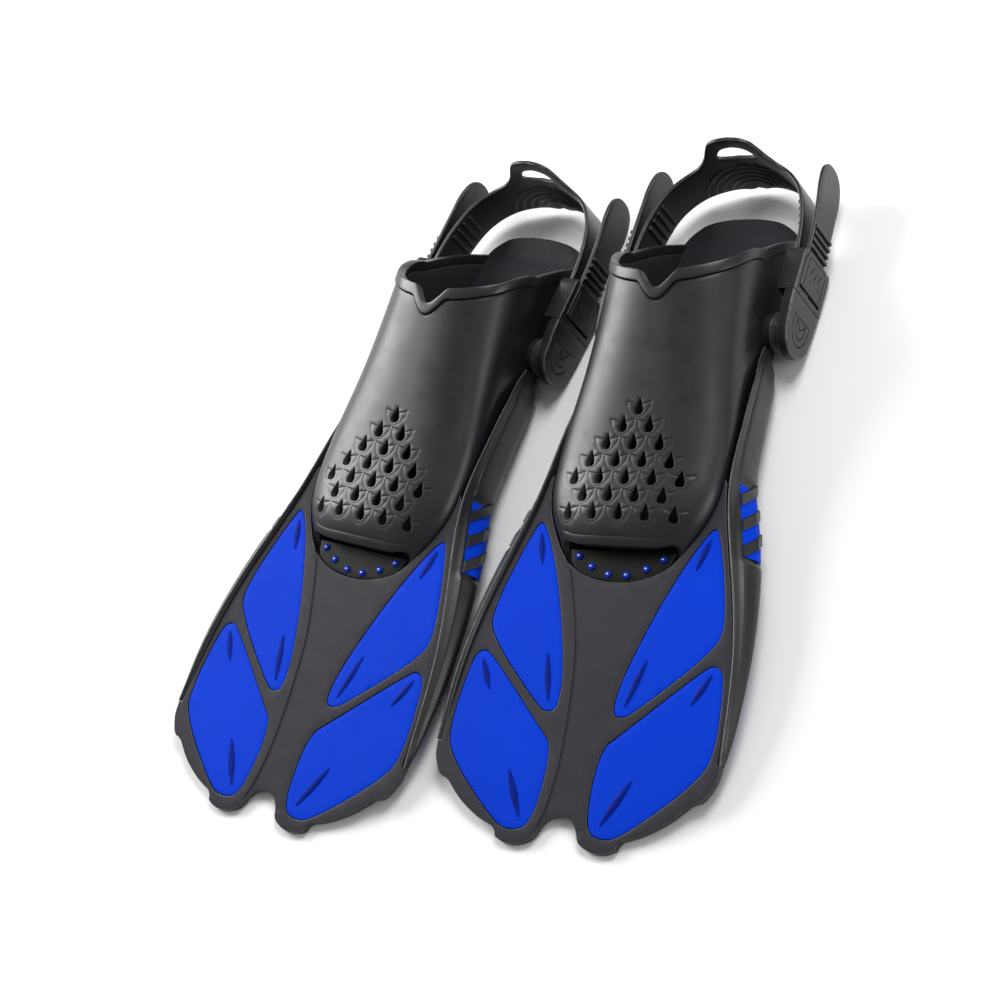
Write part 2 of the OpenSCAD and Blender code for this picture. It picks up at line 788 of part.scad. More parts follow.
left_blade();
left_rail_l();
left_rail_r();
left_panel_ul();
left_panel_ur();
left_panel_ll();
left_panel_lr();
left_louvre_l();
left_louvre_r();
left_pocket();
left_rim();
left_footbed();
left_tread();
left_studs();
left_post_l();
left_post_r();
left_arm_l();
left_arm_r();
left_clip_l();
left_clip_r();
left_bar_l();
left_bar_r();
left_lever_l();
left_lever_r();
left_spring_l();
left_spring_r();
left_strap();
right_blade();
right_rail_l();
right_rail_r();
right_panel_ul();
right_panel_ur();
right_panel_ll();
right_panel_lr();
right_louvre_l();
right_louvre_r();
right_pocket();
right_rim();
right_footbed();
right_tread();
right_studs();
right_post_l();
right_post_r();
right_arm_l();
right_arm_r();
right_clip_l();
right_clip_r();
right_bar_l();
right_bar_r();
right_lever_l();
right_lever_r();
right_spring_l();
right_spring_r();
right_strap();
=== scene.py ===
"""A pair of open-heel swim fins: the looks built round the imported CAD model.

Every piece is drawn once, in millimetres, in a fin's own frame (x across the blade, y from the
tip notch toward the heel, z up from the blade's top face) and is then placed on both fins.
Buckle parts use a buckle frame: x still across, u along the strap toward the heel, v upward.
"""

import json
import math

import bpy
import numpy as np
from mathutils import Matrix, Vector
from mathutils.geometry import delaunay_2d_cdt


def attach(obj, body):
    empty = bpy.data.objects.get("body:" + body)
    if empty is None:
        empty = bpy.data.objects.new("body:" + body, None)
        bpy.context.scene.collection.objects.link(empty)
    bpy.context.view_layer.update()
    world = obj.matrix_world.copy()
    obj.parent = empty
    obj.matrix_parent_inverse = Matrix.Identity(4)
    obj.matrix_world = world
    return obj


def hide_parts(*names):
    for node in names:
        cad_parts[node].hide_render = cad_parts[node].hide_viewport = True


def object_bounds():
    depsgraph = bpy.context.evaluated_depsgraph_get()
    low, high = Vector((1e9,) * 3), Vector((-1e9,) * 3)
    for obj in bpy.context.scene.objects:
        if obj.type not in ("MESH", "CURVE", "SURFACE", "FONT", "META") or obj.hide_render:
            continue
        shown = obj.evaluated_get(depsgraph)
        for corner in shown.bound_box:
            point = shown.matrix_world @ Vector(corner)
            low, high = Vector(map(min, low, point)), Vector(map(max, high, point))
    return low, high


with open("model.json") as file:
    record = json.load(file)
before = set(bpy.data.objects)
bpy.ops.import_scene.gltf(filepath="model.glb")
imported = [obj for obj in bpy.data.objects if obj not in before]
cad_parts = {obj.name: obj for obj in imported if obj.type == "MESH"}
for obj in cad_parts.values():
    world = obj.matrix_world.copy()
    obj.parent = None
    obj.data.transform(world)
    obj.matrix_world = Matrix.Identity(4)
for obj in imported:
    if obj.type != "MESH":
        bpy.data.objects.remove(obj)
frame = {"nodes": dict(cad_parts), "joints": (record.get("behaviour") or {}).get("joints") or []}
cad_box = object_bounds()
MM = 0.001

# ---------------------------------------------------------------- frames from the CAD joints
PIVOT_Y, PIVOT_Z = 365.0, -38.0     # strap pivots in the fin frame
TILT = math.radians(6)              # the buckles point down toward the heel by this much
joints = {j["name"]: j for j in frame["joints"]}


def fin_matrix(side):
    """The fin frame in the row frame, from the strap pivots and the release slide."""
    right, left = (np.array(joints[f"{side}_arm_{k}_pivot"]["pos_m"]) for k in "rl")
    ex = np.array(joints[f"{side}_arm_r_pivot"]["axis"])
    eu = np.array(joints[f"{side}_strap_release"]["axis"])
    ev = np.cross(ex, eu)
    ey = math.cos(TILT) * eu + math.sin(TILT) * ev
    ez = math.cos(TILT) * ev - math.sin(TILT) * eu
    origin = (right + left) / 2 - (PIVOT_Y * ey + PIVOT_Z * ez) * MM
    rows = np.column_stack([ex, ey, ez, origin]).tolist()
    return Matrix(rows + [[0, 0, 0, 1]])


FINS = {side: fin_matrix(side) for side in ("left", "right")}


def from_buckle(x, u, v):
    """Buckle frame to fin frame."""
    c, s = math.cos(TILT), math.sin(TILT)
    return np.column_stack([x, PIVOT_Y + u * c + v * s, PIVOT_Z - u * s + v * c])


# ---------------------------------------------------------------- small curve helpers
def spline(table):
    """A smooth function through (position, value) pairs."""
    xs, ys = np.array(table, float).T
    slope = np.gradient(ys, xs)

    def value(x):
        x = np.clip(x, xs[0], xs[-1])
        i = np.clip(np.searchsorted(xs, x) - 1, 0, len(xs) - 2)
        h = xs[i + 1] - xs[i]
        t = (x - xs[i]) / h
        return ((2 * t**3 - 3 * t**2 + 1) * ys[i] + (t**3 - 2 * t**2 + t) * h * slope[i]
                + (3 * t**2 - 2 * t**3) * ys[i + 1] + (t**3 - t**2) * h * slope[i + 1])
    return value


def ramp(table):
    """Straight-line interpolation through (position, value) pairs."""
    xs, ys = np.array(table, float).T
    return lambda x: np.interp(x, xs, ys)


def curve(points, n=8):
    """Points of a smooth open curve through a short list."""
    p = np.array(points, float)
    m = np.gradient(p, axis=0)
    t = np.linspace(0, 1, n, endpoint=False)[:, None]
    parts = [(2 * t**3 - 3 * t**2 + 1) * p[i] + (t**3 - 2 * t**2 + t) * m[i]
             + (3 * t**2 - 2 * t**3) * p[i + 1] + (t**3 - t**2) * m[i + 1] for i in range(len(p) - 1)]
    return np.vstack(parts + [p[-1:]])


def cut(points, rounds=3):
    """A closed outline with its corners cut to a smooth curve."""
    p = np.array(points, float)
    for _ in range(rounds):
        q = np.roll(p, -1, axis=0)
        p = np.stack([p * 0.75 + q * 0.25, p * 0.25 + q * 0.75], 1).reshape(-1, p.shape[1])
    return p


def finer(points, step, closed=True):
    """The same outline with no side longer than step."""
    p = np.array(points, float)
    ends = np.vstack([p, p[:1]]) if closed else p
    out = []
    for a, b in zip(ends[:-1], ends[1:]):
        n = max(1, math.ceil(np.linalg.norm(b - a) / step))
        out += [a + (b - a) * k / n for k in range(n)]
    return np.array(out if closed else out + [ends[-1]])


def area(p):
    """Signed area of a closed outline, positive when it runs anticlockwise."""
    x, y = p[:, 0], p[:, 1]
    return 0.5 * float(np.dot(x, np.roll(y, -1)) - np.dot(y, np.roll(x, -1)))


def inset(loop, d):
    """A closed outline moved to its left by d."""
    e = np.roll(loop, -1, axis=0) - loop
    e /= np.linalg.norm(e, axis=1)[:, None] + 1e-12
    n = np.column_stack([-e[:, 1], e[:, 0]])
    before = np.roll(n, 1, axis=0)
    m = n + before
    m /= np.linalg.norm(m, axis=1)[:, None] + 1e-12
    return loop + m * d / np.maximum(0.5, (m * n).sum(1))[:, None]


def inside(points, loop):
    """Which points lie inside a closed outline."""
    x, y = points[:, 0:1], points[:, 1:2]
    a, b = loop, np.roll(loop, -1, axis=0)
    crosses = (a[:, 1] > y) != (b[:, 1] > y)
    at = (b[:, 0] - a[:, 0]) * (y - a[:, 1]) / (b[:, 1] - a[:, 1] + 1e-12) + a[:, 0]
    return (crosses & (x < at)).sum(1) % 2 == 1


def within(points, loops):
    """Which points lie inside the first outline and outside the others."""
    keep = inside(points, loops[0])
    for hole in loops[1:]:
        keep &= ~inside(points, hole)
    return keep


def distance(points, line):
    """Distance of each point to an open polyline."""
    best = np.full(len(points), 1e9)
    for a, b in zip(line[:-1], line[1:]):
        d = b - a
        t = np.clip((points - a) @ d / (d @ d + 1e-12), 0, 1)
        best = np.minimum(best, np.linalg.norm(points - a - t[:, None] * d, axis=1))
    return best


def beside(line, d):
    """An open polyline moved to its left by d."""
    t = np.gradient(line, axis=0)
    t /= np.linalg.norm(t, axis=1)[:, None] + 1e-12
    return line + np.column_stack([-t[:, 1], t[:, 0]]) * d


# ---------------------------------------------------------------- mesh makers
class Geo:
    """Vertices, faces, each vertex's edge weight (wear, and a painted highlight on most edges and painted
    shade on the blue panels' edges) and darkening (painted shade in engraved grooves, a darker colour
    elsewhere), and a material number or one for each face.
    """

    def __init__(self, verts, faces, edge=None, tone=None, mat=0):
        self.verts = np.asarray(verts, float)
        self.faces = faces
        self.edge = np.zeros(len(verts)) if edge is None else edge
        self.tone = np.zeros(len(verts)) if tone is None else tone
        self.mat = mat


def flat(x, y, h):
    """Drawing plane to space, as it is."""
    return np.column_stack([x, y, h])


def in_buckle(x, y, h):
    """Drawing plane to buckle side: x runs along the strap, y upward, h away from the fin."""
    return from_buckle(h, x, y)


def as_function(v):
    """A height that may be a number or a function of the drawing plane, as a function."""
    return v if callable(v) else (lambda x, y: np.full(len(x), float(v)))


def fill(loops, marks, step):
    """Triangles that fill the first outline less the others, with edges along the marks. Returns the points,
    the triangles and each outline point's number."""
    groups = loops + [np.array(m, float) for m in marks]
    edges, start = [], 0
    for i, g in enumerate(groups):
        n = len(g)
        edges += [(start + k, start + k + 1) for k in range(n - 1)]
        if i < len(loops):
            edges.append((start + n - 1, start))
        start += n
    lo, hi = loops[0].min(0), loops[0].max(0)
    gx, gy = np.meshgrid(np.arange(lo[0], hi[0], step), np.arange(lo[1], hi[1], step * 0.87))
    gx = gx + (np.arange(gx.shape[0]) % 2)[:, None] * step / 2
    grid = np.column_stack([gx.ravel(), gy.ravel()])
    grid = grid[within(grid, loops)]
    for g in groups:
        clear = np.ones(len(grid), bool)
        for a in range(0, len(g), 200):
            clear &= np.linalg.norm(grid[:, None] - g[None, a:a + 200], axis=2).min(1) > 0.45 * step
        grid = grid[clear]
    points = np.vstack(groups + [grid])
    out = delaunay_2d_cdt([Vector(p) for p in points], edges, [], 0, 1e-6)
    xy, tri = np.array([v[:] for v in out[0]]), np.array(out[2])
    number = np.zeros(len(points), int)
    for k, origin in enumerate(out[3]):
        for o in origin:
            number[o] = k
    tri = tri[within(xy[tri].mean(1), loops)]
    p = xy[tri]
    winding = np.cross(p[:, 1] - p[:, 0], p[:, 2] - p[:, 0])
    tri[winding < 0] = tri[winding < 0][:, ::-1]
    return xy, tri, number


def slab(outline, holes=(), marks=(), step=4.0, top=0.0, bottom=-1.0, r=0.5, arc=3, place=flat,
         tone=None, side=None):
    """A plate with edges rounded to r. The marks carry creases, and top and bottom may be functions of
    the drawing plane. place bends it into space. side is the material number of all but the top face."""
    top, bottom = as_function(top), as_function(bottom)
    loops = [np.array(outline, float)] + [np.array(h, float) for h in holes]
    loops = [p if (area(p) > 0) == (i == 0) else p[::-1] for i, p in enumerate(loops)]
    inner = [inset(p, r) for p in loops]
    xy, tri, number = fill(inner, marks, step)
    n = len(xy)
    all_xy, all_h, edge = [xy, xy], [top(xy[:, 0], xy[:, 1]), bottom(xy[:, 0], xy[:, 1])], [np.zeros(2 * n)]
    faces = [tuple(t) for t in tri] + [tuple(t[::-1] + n) for t in tri]
    count, first = 2 * n, 0
    for p, g in zip(loops, inner):
        m = len(p)
        ids = number[first:first + m]
        first += m
        rings = [ids]
        for high in (True, False):
            base = (top if high else bottom)(g[:, 0], g[:, 1])
            for k in (range(1, arc + 1) if high else range(arc, 0, -1)):
                a = math.pi / 2 * k / arc
                drop = r * (1 - math.cos(a))
                all_xy.append(inset(p, r * (1 - math.sin(a))))
                all_h.append(base - drop if high else base + drop)
                # the rounded rings take the edge colour: wear and a painted highlight, and painted shade on
                # the blue panels
                edge.append(np.full(m, float(k < arc)))
                rings.append(np.arange(count, count + m))
                count += m
        rings.append(ids + n)
        for upper, lower in zip(rings[:-1], rings[1:]):
            u2, l2 = np.roll(upper, -1), np.roll(lower, -1)
            faces += list(zip(upper.tolist(), lower.tolist(), l2.tolist(), u2.tolist()))
    xy_all, h_all = np.vstack(all_xy), np.concatenate(all_h)
    shade = np.zeros(len(xy_all))
    if tone is not None:
        shade[:n] = tone(xy[:, 0], xy[:, 1])
    mats = 0 if side is None else [0] * len(tri) + [side] * (len(faces) - len(tri))
    return Geo(place(xy_all[:, 0], xy_all[:, 1], h_all), faces, np.concatenate(edge), shade, mats)


def loft(rings, edge=None, mat=0):
    """A capped tube through closed rings of equal count."""
    rings = np.asarray(rings, float)
    n, m = rings.shape[:2]
    faces = []
    for i in range(n - 1):
        for j in range(m):
            k = (j + 1) % m
            faces.append((i * m + j, i * m + k, (i + 1) * m + k, (i + 1) * m + j))
    faces.append(tuple(range(m - 1, -1, -1)))
    faces.append(tuple(range((n - 1) * m, n * m)))
    return Geo(rings.reshape(-1, 3), faces, None if edge is None else np.tile(edge, n), mat=mat)


def lathe(profile, place, n=64, mat=0, edge_wear_and_light=()):
    """A turned part: profile is (radius, height) up its outside, place takes across, along, height."""
    prof = np.array(profile, float)
    a = np.linspace(0, 2 * np.pi, n, endpoint=False)
    rings = [place(r * np.cos(a), r * np.sin(a), np.full(n, h)) for r, h in prof]
    g = loft(rings, mat=mat)
    g.edge = np.repeat([1.0 if i in edge_wear_and_light else 0.0 for i in range(len(prof))], n)
    return g


def build(name, geos, materials, sharp=38):
    """One mesh, in metres, from several shells."""
    verts = np.vstack([g.verts for g in geos]) * MM
    faces, mats, start = [], [], 0
    for g in geos:
        faces += [tuple(int(i) + start for i in f) for f in g.faces]
        mats += g.mat if isinstance(g.mat, list) else [g.mat] * len(g.faces)
        start += len(g.verts)
    mesh = bpy.data.meshes.new(name)
    mesh.from_pydata(verts.tolist(), [], faces)
    for key in ("edge", "tone"):
        a = mesh.attributes.new(key, "FLOAT", "POINT")
        a.data.foreach_set("value", np.concatenate([getattr(g, key) for g in geos]).astype(np.float32))
    mesh.polygons.foreach_set("material_index", mats)
    for m in materials:
        mesh.materials.append(m)
    mesh.validate()
    mesh.shade_smooth()
    mesh.set_sharp_from_angle(angle=math.radians(sharp))
    return mesh


def mirrored(mesh, name):
    """The same mesh on the other side of the fin."""
    m = mesh.copy()
    m.name = name
    m.transform(Matrix.Scale(-1, 4, (1, 0, 0)))
    m.flip_normals()
    return m


def put(mesh, name, body, node):
    """The mesh on both fins, in place of a CAD node."""
    for side, matrix in FINS.items():
        placed = mesh.copy()
        placed.transform(matrix)
        o = bpy.data.objects.new(f"{name}_{side}", placed)
        bpy.context.scene.collection.objects.link(o)
        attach(o, f"{side}_{body}")
        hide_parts(f"{side}_{node}")


def put_pair(mesh, name, body):
    """A side part: on the right as drawn and mirrored on the left, on both fins. {} stands for r or l."""
    for k, m in (("r", mesh), ("l", mirrored(mesh, mesh.name + "_l"))):
        put(m, name.format(k), body.format(k), name.format(k))


# ---------------------------------------------------------------- materials
CLOUD_SCALE, EDGE_BREAKUP_SCALE, BROAD_SCALE = 14.0, 220, 60      # noise cells in a metre, roughly
RELIEF_DEPTH = 0.0004


def surface(name, colour, rough, edge_wear_and_light=None, shade=None, speck=0.15, grain=900.0, bump=0.06, metallic=0.0,
            wear_and_light_amount=0.5, rough_spread=0.08, specular=0.5):
    """A moulded surface: cloudy colour, fine grain in the gloss and the relief, a darker colour in the marked
    parts, which is painted shade in engraved grooves, and a changed colour on the edges: wear and a painted
    highlight, and on the blue panels painted shade."""
    m = bpy.data.materials.new(name)
    m.use_nodes = True
    nt = m.node_tree
    nt.nodes.clear()

    def node(kind, **sets):
        n = nt.nodes.new(kind)
        for key, v in sets.items():
            setattr(n, key, v)
        return n

    def link(a, b):
        nt.links.new(a, b)

    out = node("ShaderNodeOutputMaterial")
    bsdf = node("ShaderNodeBsdfPrincipled")
    link(bsdf.outputs[0], out.inputs[0])
    bsdf.inputs["Metallic"].default_value = metallic
    bsdf.inputs["Specular IOR Level"].default_value = specular
    where = node("ShaderNodeTexCoord")

    def noise(scale, detail, rough_):
        n = node("ShaderNodeTexNoise")
        n.inputs["Scale"].default_value = scale
        n.inputs["Detail"].default_value = detail
        n.inputs["Roughness"].default_value = rough_
        link(where.outputs["Object"], n.inputs["Vector"])
        return n.outputs["Fac"]

    def scaled(value, lo, hi, to_lo, to_hi):
        n = node("ShaderNodeMapRange")
        for k, v in zip(("From Min", "From Max", "To Min", "To Max"), (lo, hi, to_lo, to_hi)):
            n.inputs[k].default_value = v
        link(value, n.inputs["Value"])
        return n.outputs[0]

    def mix(fac, a, b):
        n = node("ShaderNodeMix", data_type="RGBA")
        link(fac, n.inputs["Factor"])
        for sock, v in ((n.inputs["A"], a), (n.inputs["B"], b)):
            if isinstance(v, (tuple, list)):
                sock.default_value = (*v, 1)
            else:
                link(v, sock)
        return n.outputs["Result"]

    def attribute(key):
        n = node("ShaderNodeAttribute", attribute_name=key)
        return n.outputs["Fac"]

    cloud = scaled(noise(CLOUD_SCALE, 3, 0.55), 0.3, 0.7, 0, 1)
    low = tuple(c * (1 - speck) for c in colour)
    high = tuple(c * (1 + speck) for c in colour)
    tint = mix(cloud, low, high)
    # darken the marked parts: painted shade where they are engraved grooves, a darker colour elsewhere
    if shade is not None:
        tint = mix(attribute("tone"), tint, shade)
    # recolour the edges, broken up by noise: wear and a painted highlight, on the blue panels painted shade in
    # the gap round them
    if edge_wear_and_light is not None:
        edge_breakup = scaled(noise(EDGE_BREAKUP_SCALE, 4, 0.65), 0.42, 0.62, 0.25 * wear_and_light_amount, wear_and_light_amount)
        product = node("ShaderNodeMath", operation="MULTIPLY")
        link(attribute("edge"), product.inputs[0])
        link(edge_breakup, product.inputs[1])
        tint = mix(product.outputs[0], tint, edge_wear_and_light)
    link(tint, bsdf.inputs["Base Color"])
    fine = noise(grain, 2, 0.6)
    broad = noise(BROAD_SCALE, 4, 0.6)
    both = node("ShaderNodeMath", operation="ADD")
    link(scaled(fine, 0.3, 0.7, -rough_spread / 2, rough_spread / 2), both.inputs[0])
    link(scaled(broad, 0.3, 0.7, rough - rough_spread / 2, rough + rough_spread / 2), both.inputs[1])
    link(both.outputs[0], bsdf.inputs["Roughness"])
    relief = node("ShaderNodeBump")
    relief.inputs["Strength"].default_value = bump
    relief.inputs["Distance"].default_value = RELIEF_DEPTH
    link(fine, relief.inputs["Height"])
    link(relief.outputs[0], bsdf.inputs["Normal"])
    return m


# Each edge colour below changes the marked edges: wear, and also a painted highlight, strongest along the
# rail's crest, the rim's lip and the buckle and strap edges. The shade colours of the pocket rubber and the
# buckle plastic are painted shade in engraved grooves.
frame_plastic = surface("frame_plastic", (0.029, 0.028, 0.034), 0.62, edge_wear_and_light=(0.06, 0.06, 0.065), speck=0.06,
                        specular=0.15)
rail_plastic = surface("rail_plastic", (0.011, 0.011, 0.012), 0.38, edge_wear_and_light=(0.10, 0.10, 0.105), speck=0.08,
                       wear_and_light_amount=0.9)
# the blue's edge colour is darker than the blue: painted shade in the gap round each panel
blue_soft = surface("blue_soft", (0.0005, 0.04, 0.56), 0.55, edge_wear_and_light=(0.001, 0.026, 0.38),
                    shade=(0.001, 0.012, 0.20), speck=0.04, wear_and_light_amount=0.9, specular=0.04)
rubber = surface("pocket_rubber", (0.0095, 0.009, 0.0125), 0.38, edge_wear_and_light=(0.03, 0.03, 0.034),
                 shade=(0.003, 0.003, 0.003), speck=0.10, grain=1400, bump=0.05)
rim_rubber = surface("rim_rubber", (0.010, 0.010, 0.012), 0.34, edge_wear_and_light=(0.035, 0.035, 0.038), speck=0.10,
                     grain=1400)
bed_plastic = surface("bed_plastic", (0.017, 0.017, 0.021), 0.5, edge_wear_and_light=(0.03, 0.03, 0.034),
                      shade=(0.006, 0.006, 0.004), speck=0.15, grain=700, bump=0.12, specular=0.1)
tread_rubber = surface("tread_rubber", (0.012, 0.012, 0.012), 0.7, edge_wear_and_light=(0.05, 0.05, 0.048), speck=0.3,
                       grain=500, bump=0.3)
# the buckle's and the strap's light edge colours are wear and also a painted highlight along their edges
buckle_plastic = surface("buckle_plastic", (0.012, 0.012, 0.013), 0.34, edge_wear_and_light=(0.12, 0.12, 0.125), speck=0.08,
                         wear_and_light_amount=0.8, shade=(0.004, 0.004, 0.004))
strap_rubber = surface("strap_rubber", (0.008, 0.008, 0.009), 0.37, edge_wear_and_light=(0.09, 0.09, 0.095), speck=0.10,
                       wear_and_light_amount=0.8)
steel = surface("pin_steel", (0.55, 0.57, 0.62), 0.32, speck=0.10, metallic=1.0, grain=1800, rough_spread=0.14)
stud_metal = surface("stud_metal", (0.34, 0.40, 0.62), 0.35, speck=0.06, metallic=0.85, grain=1500)

# ---------------------------------------------------------------- shared sizes of the fin
BLADE_T, CHANNEL_D = 5.0, 0.8       # blade and the depth of its centre channel
PANEL_SINK, PANEL_LOW, LEAF_H = 0.45, -4.3, 0.75
WALL, BAND_W = 4.5, 8.0             # pocket and the band round its opening
WIDEST_Z, SQUARED = -6.0, 0.8       # height at which the pocket is widest, power of its section's curve
DROP_L, DROP_W = 12.3, 7.0          # drain holes
BED_ANGLE = 11                      # fall of the footbed toward the heel, in degrees
BED_SLOPE, TOE_Y, BED_TOE = math.tan(math.radians(BED_ANGLE)), 170.0, -9.0
VEE_D, VEE_S = 14.0, 0.058          # depth of the rim's V and its reach round the pocket

notch = curve([[0, 0.5], [8, -1.5], [13, -7], [18, -16], [26, -20.5], [34, -21.8], [41, -20.5], [46, -18]], 5)
scallop = np.vstack([[47.3, -14.4], curve([[50, -11.4], [64, -5.8], [80, 4.2], [93.2, 16.4]], 8),
                     [[96.5, 18.2], [99.4, 18.9], [102.5, 21.5]]])
shoulder = curve([[105.4, 26.5], [108.4, 34], [109.5, 43.8]], 6)
crest_x = spline([[44, 109.5], [60, 108.5], [80, 107.3], [100, 105.3], [120, 102.3], [140, 98.1], [160, 92.8],
                  [180, 86.8], [200, 80.8], [220, 75.4], [240, 71.9], [260, 70.2], [280, 68.9], [300, 66.8],
                  [320, 64.4], [338, 61.6]])
crest_z = spline([[44, 0.4], [60, 1.5], [80, 2.6], [100, 3], [120, 3], [140, 3], [160, 3], [180, 3], [200, 3],
                  [220, 2.7], [240, 1.8], [260, -0.4], [280, -3.8], [300, -8.5], [320, -14.5], [338, -22]])
rail_out = spline([[44, 110.5], [60, 112.3], [80, 113], [100, 112.6], [120, 111.2], [140, 108.6], [160, 105.2],
                   [180, 100.6], [200, 94.8], [220, 87.5], [240, 79.5], [260, 74], [280, 71.2], [300, 68.6],
                   [320, 66], [338, 63.2]])
rail_low = ramp([[44, -5], [100, -9], [160, -17], [200, -24], [240, -31], [300, -43], [338, -51]])
pocket_w = spline([[176, 43.5], [186, 48], [195, 53.5], [205, 59], [215, 63], [226, 65.6], [240, 66.4],
                   [260, 66.2], [283, 64.4], [300, 62.2], [320, 60], [340, 58.4], [360, 57.2], [380, 56.4],
                   [400, 55.4], [413, 54.4], [433, 53.4], [449, 51.6]])          # half its width
pocket_top = spline([[176, 3.5], [186, 8], [195, 12.2], [207, 15.4], [220, 16.3], [258, 17.3], [283, 19.6],
                     [310, 23.2], [340, 28], [379, 34.6], [413, 38.5], [449, 41]])
rim_line = spline([[0, 379], [0.09, 380.6], [0.15, 383.2], [0.2, 386.2], [0.26, 390.4], [0.32, 395.6],
                   [0.38, 402], [0.45, 409.4], [0.5, 413.4], [0.6, 421], [0.77, 433.5], [1, 448.6]])
lip_line = spline([[0, 186.5], [0.2, 187.5], [0.32, 190], [0.4, 188], [0.5, 181], [1, 177.5]])


def bed_top(y):
    """Height of the footbed's top face."""
    return BED_TOE - BED_SLOPE * (y - TOE_Y)


def rim_y(s):
    """Where the ankle opening's edge lies along the fin, with the V over the instep."""
    s = np.abs(s)
    t = 1 - np.sqrt((s / VEE_S) ** 2 + 0.05)
    return rim_line(s) - 1.15 * VEE_D * (t + np.sqrt(t * t + 0.02)) / 2


def lip_y(s):
    """Where the hood over the toes begins along the fin."""
    return lip_line(np.abs(s))


def skin(y, s, d=0.0):
    """A point of the foot pocket: s runs from -1 to 1 round it, 0 on the crown, and d is the depth below."""
    a = np.abs(s)
    f = np.pi * np.minimum(a, 0.5)
    w, h = pocket_w(y) - d, pocket_top(y) - d
    below = np.clip((a - 0.5) * 2, 0, 1)
    x = w * np.sin(f) ** SQUARED * (1 - 0.06 * below)
    z = WIDEST_Z + (h - WIDEST_Z) * np.maximum(np.cos(f), 0) ** SQUARED
    z = np.where(a > 0.5, WIDEST_Z + (bed_top(y) + 0.1 - WIDEST_Z) * below, z)
    return np.column_stack([np.sign(s) * x, y, z])


def way_round(x, y):
    """Where a plan point on the crown lies round the pocket: skin's s, without its sign."""
    return np.arcsin(np.clip(np.abs(x) / pocket_w(y), 0, 1) ** (1 / SQUARED)) / np.pi


def mirror_half(half):
    """A closed outline from its half on the +x side, both ends on the middle line."""
    p = np.array(half, float)
    back = p[::-1] * [-1, 1]
    return np.vstack([p, back[back[:, 0] < -0.01]])


def sym(line):
    """A polyline and its mirror image."""
    line = np.array(line, float)
    return [line, line * [-1, 1]]


# ---------------------------------------------------------------- blade, panels
panel_up = cut([[66, 207], [73, 200], [92, 137], [84.9, 118.2], [36.9, 73.2], [28.8, 69.8], [21, 72], [23, 98],
                [42, 158]], 4)
panel_low = cut([[90.6, 110.2], [98, 104], [103, 55], [97, 34], [50, -8.5], [35, -13], [20, -7], [18, 46],
                 [31.5, 58.4], [83.5, 107.9]], 4)
UP_LEAVES = [((66.6, 196.5), (60.2, 174.5), 3.0), ((38.6, 110.5), (29.8, 77.5), 3.0)]
LOW_LEAVES = [((89, 103.5), (78.3, 82.3), 2.9), ((47.5, 28.5), (31.3, -3.2), 3.3)]
crease = curve([[38, 174], [27, 144], [17.5, 111], [12.5, 74], [10.4, 43], [10.6, 22], [13, 2],
                [16.2, -8]], 8)
window_half = curve([[0, 163.5], [10, 164.2], [20, 166.2], [31, 170.3], [40.5, 176]], 6)
crease_x = ramp(sorted([[p[1], p[0]] for p in crease]))


def blade_geo():
    """The split-tip plate with its four windows and the sunk channel between the creases."""
    under_rail = 3.1
    edge_y = np.arange(48, 238, 4.0)
    rail_edge = np.column_stack([crest_x(edge_y) - under_rail, edge_y])
    flank_y = np.array([240, 233, 226, 220, 215, 210, 205, 200, 195, 190, 186.0])
    flank = np.column_stack([pocket_w(flank_y) + 0.6, flank_y])
    half = np.vstack([notch, scallop, shoulder, [[crest_x(44) - under_rail, 43.8]], rail_edge, flank,
                      window_half[::-1]])
    outline = finer(mirror_half(half), 4)
    gap = 0.45
    holes = [h for p in (panel_up, panel_low) for h in sym(inset(p if area(p) > 0 else p[::-1], -gap))]
    step_w, channel_end = 0.5, 178

    def top(x, y):
        into = np.clip((crease_x(y) - np.abs(x)) / step_w + 0.5, 0, 1)
        return -CHANNEL_D * np.where(y < channel_end, into, 0)

    marks = [m for d in (-step_w / 2, step_w / 2) for m in sym(beside(crease[1:-1], d))]
    return slab(outline, holes, marks, step=6, top=top, bottom=-BLADE_T, r=0.45, arc=3, side=1)


def leaf_line(a, b, w):
    """Both long sides and the spine of a leaf from a to b, w wide each way."""
    a, b = np.array(a, float), np.array(b, float)
    d = b - a
    n = np.array([-d[1], d[0]]) / np.linalg.norm(d)
    t = np.linspace(0, 1, 19)[:, None]
    bow = w * 0.8 * np.sin(np.pi * t) ** 0.9
    return a + d * t, a + d * t + n * bow, a + d * t - n * bow


def panel_geo(shape, leaves):
    """A soft panel with leaf-shaped ridges, darker than the rest."""
    lines = [leaf_line(*leaf) for leaf in leaves]
    marks = [line for three in lines for line in three]
    marks += [beside(line, k) for _, one, other in lines
              for line, k in ((one, 0.3), (one, 0.9), (other, -0.3), (other, -0.9))]

    def in_leaf(p, one, other, margin):
        ring = np.vstack([one, other[::-1]])
        return inside(p, inset(ring, -margin if area(ring) > 0 else margin))

    def top(x, y):
        p = np.column_stack([x, y])
        amount = np.zeros(len(p))
        for (spine, one, other), (_, _, w) in zip(lines, leaves):
            far = np.clip(1 - distance(p, spine) / (w + 0.2), 0, 1)
            amount = np.maximum(amount, np.where(in_leaf(p, one, other, 0.02), far, 0))
        return -PANEL_SINK + LEAF_H * amount

    def tone(x, y):
        p = np.column_stack([x, y])
        dark = np.zeros(len(p))
        for _, one, other in lines:
            dark = np.maximum(dark, in_leaf(p, one, other, 0.08) * 1.0)
        return dark

    return slab(finer(shape, 3), (), marks, step=4, top=top, bottom=PANEL_LOW, r=0.6, arc=3, tone=tone)


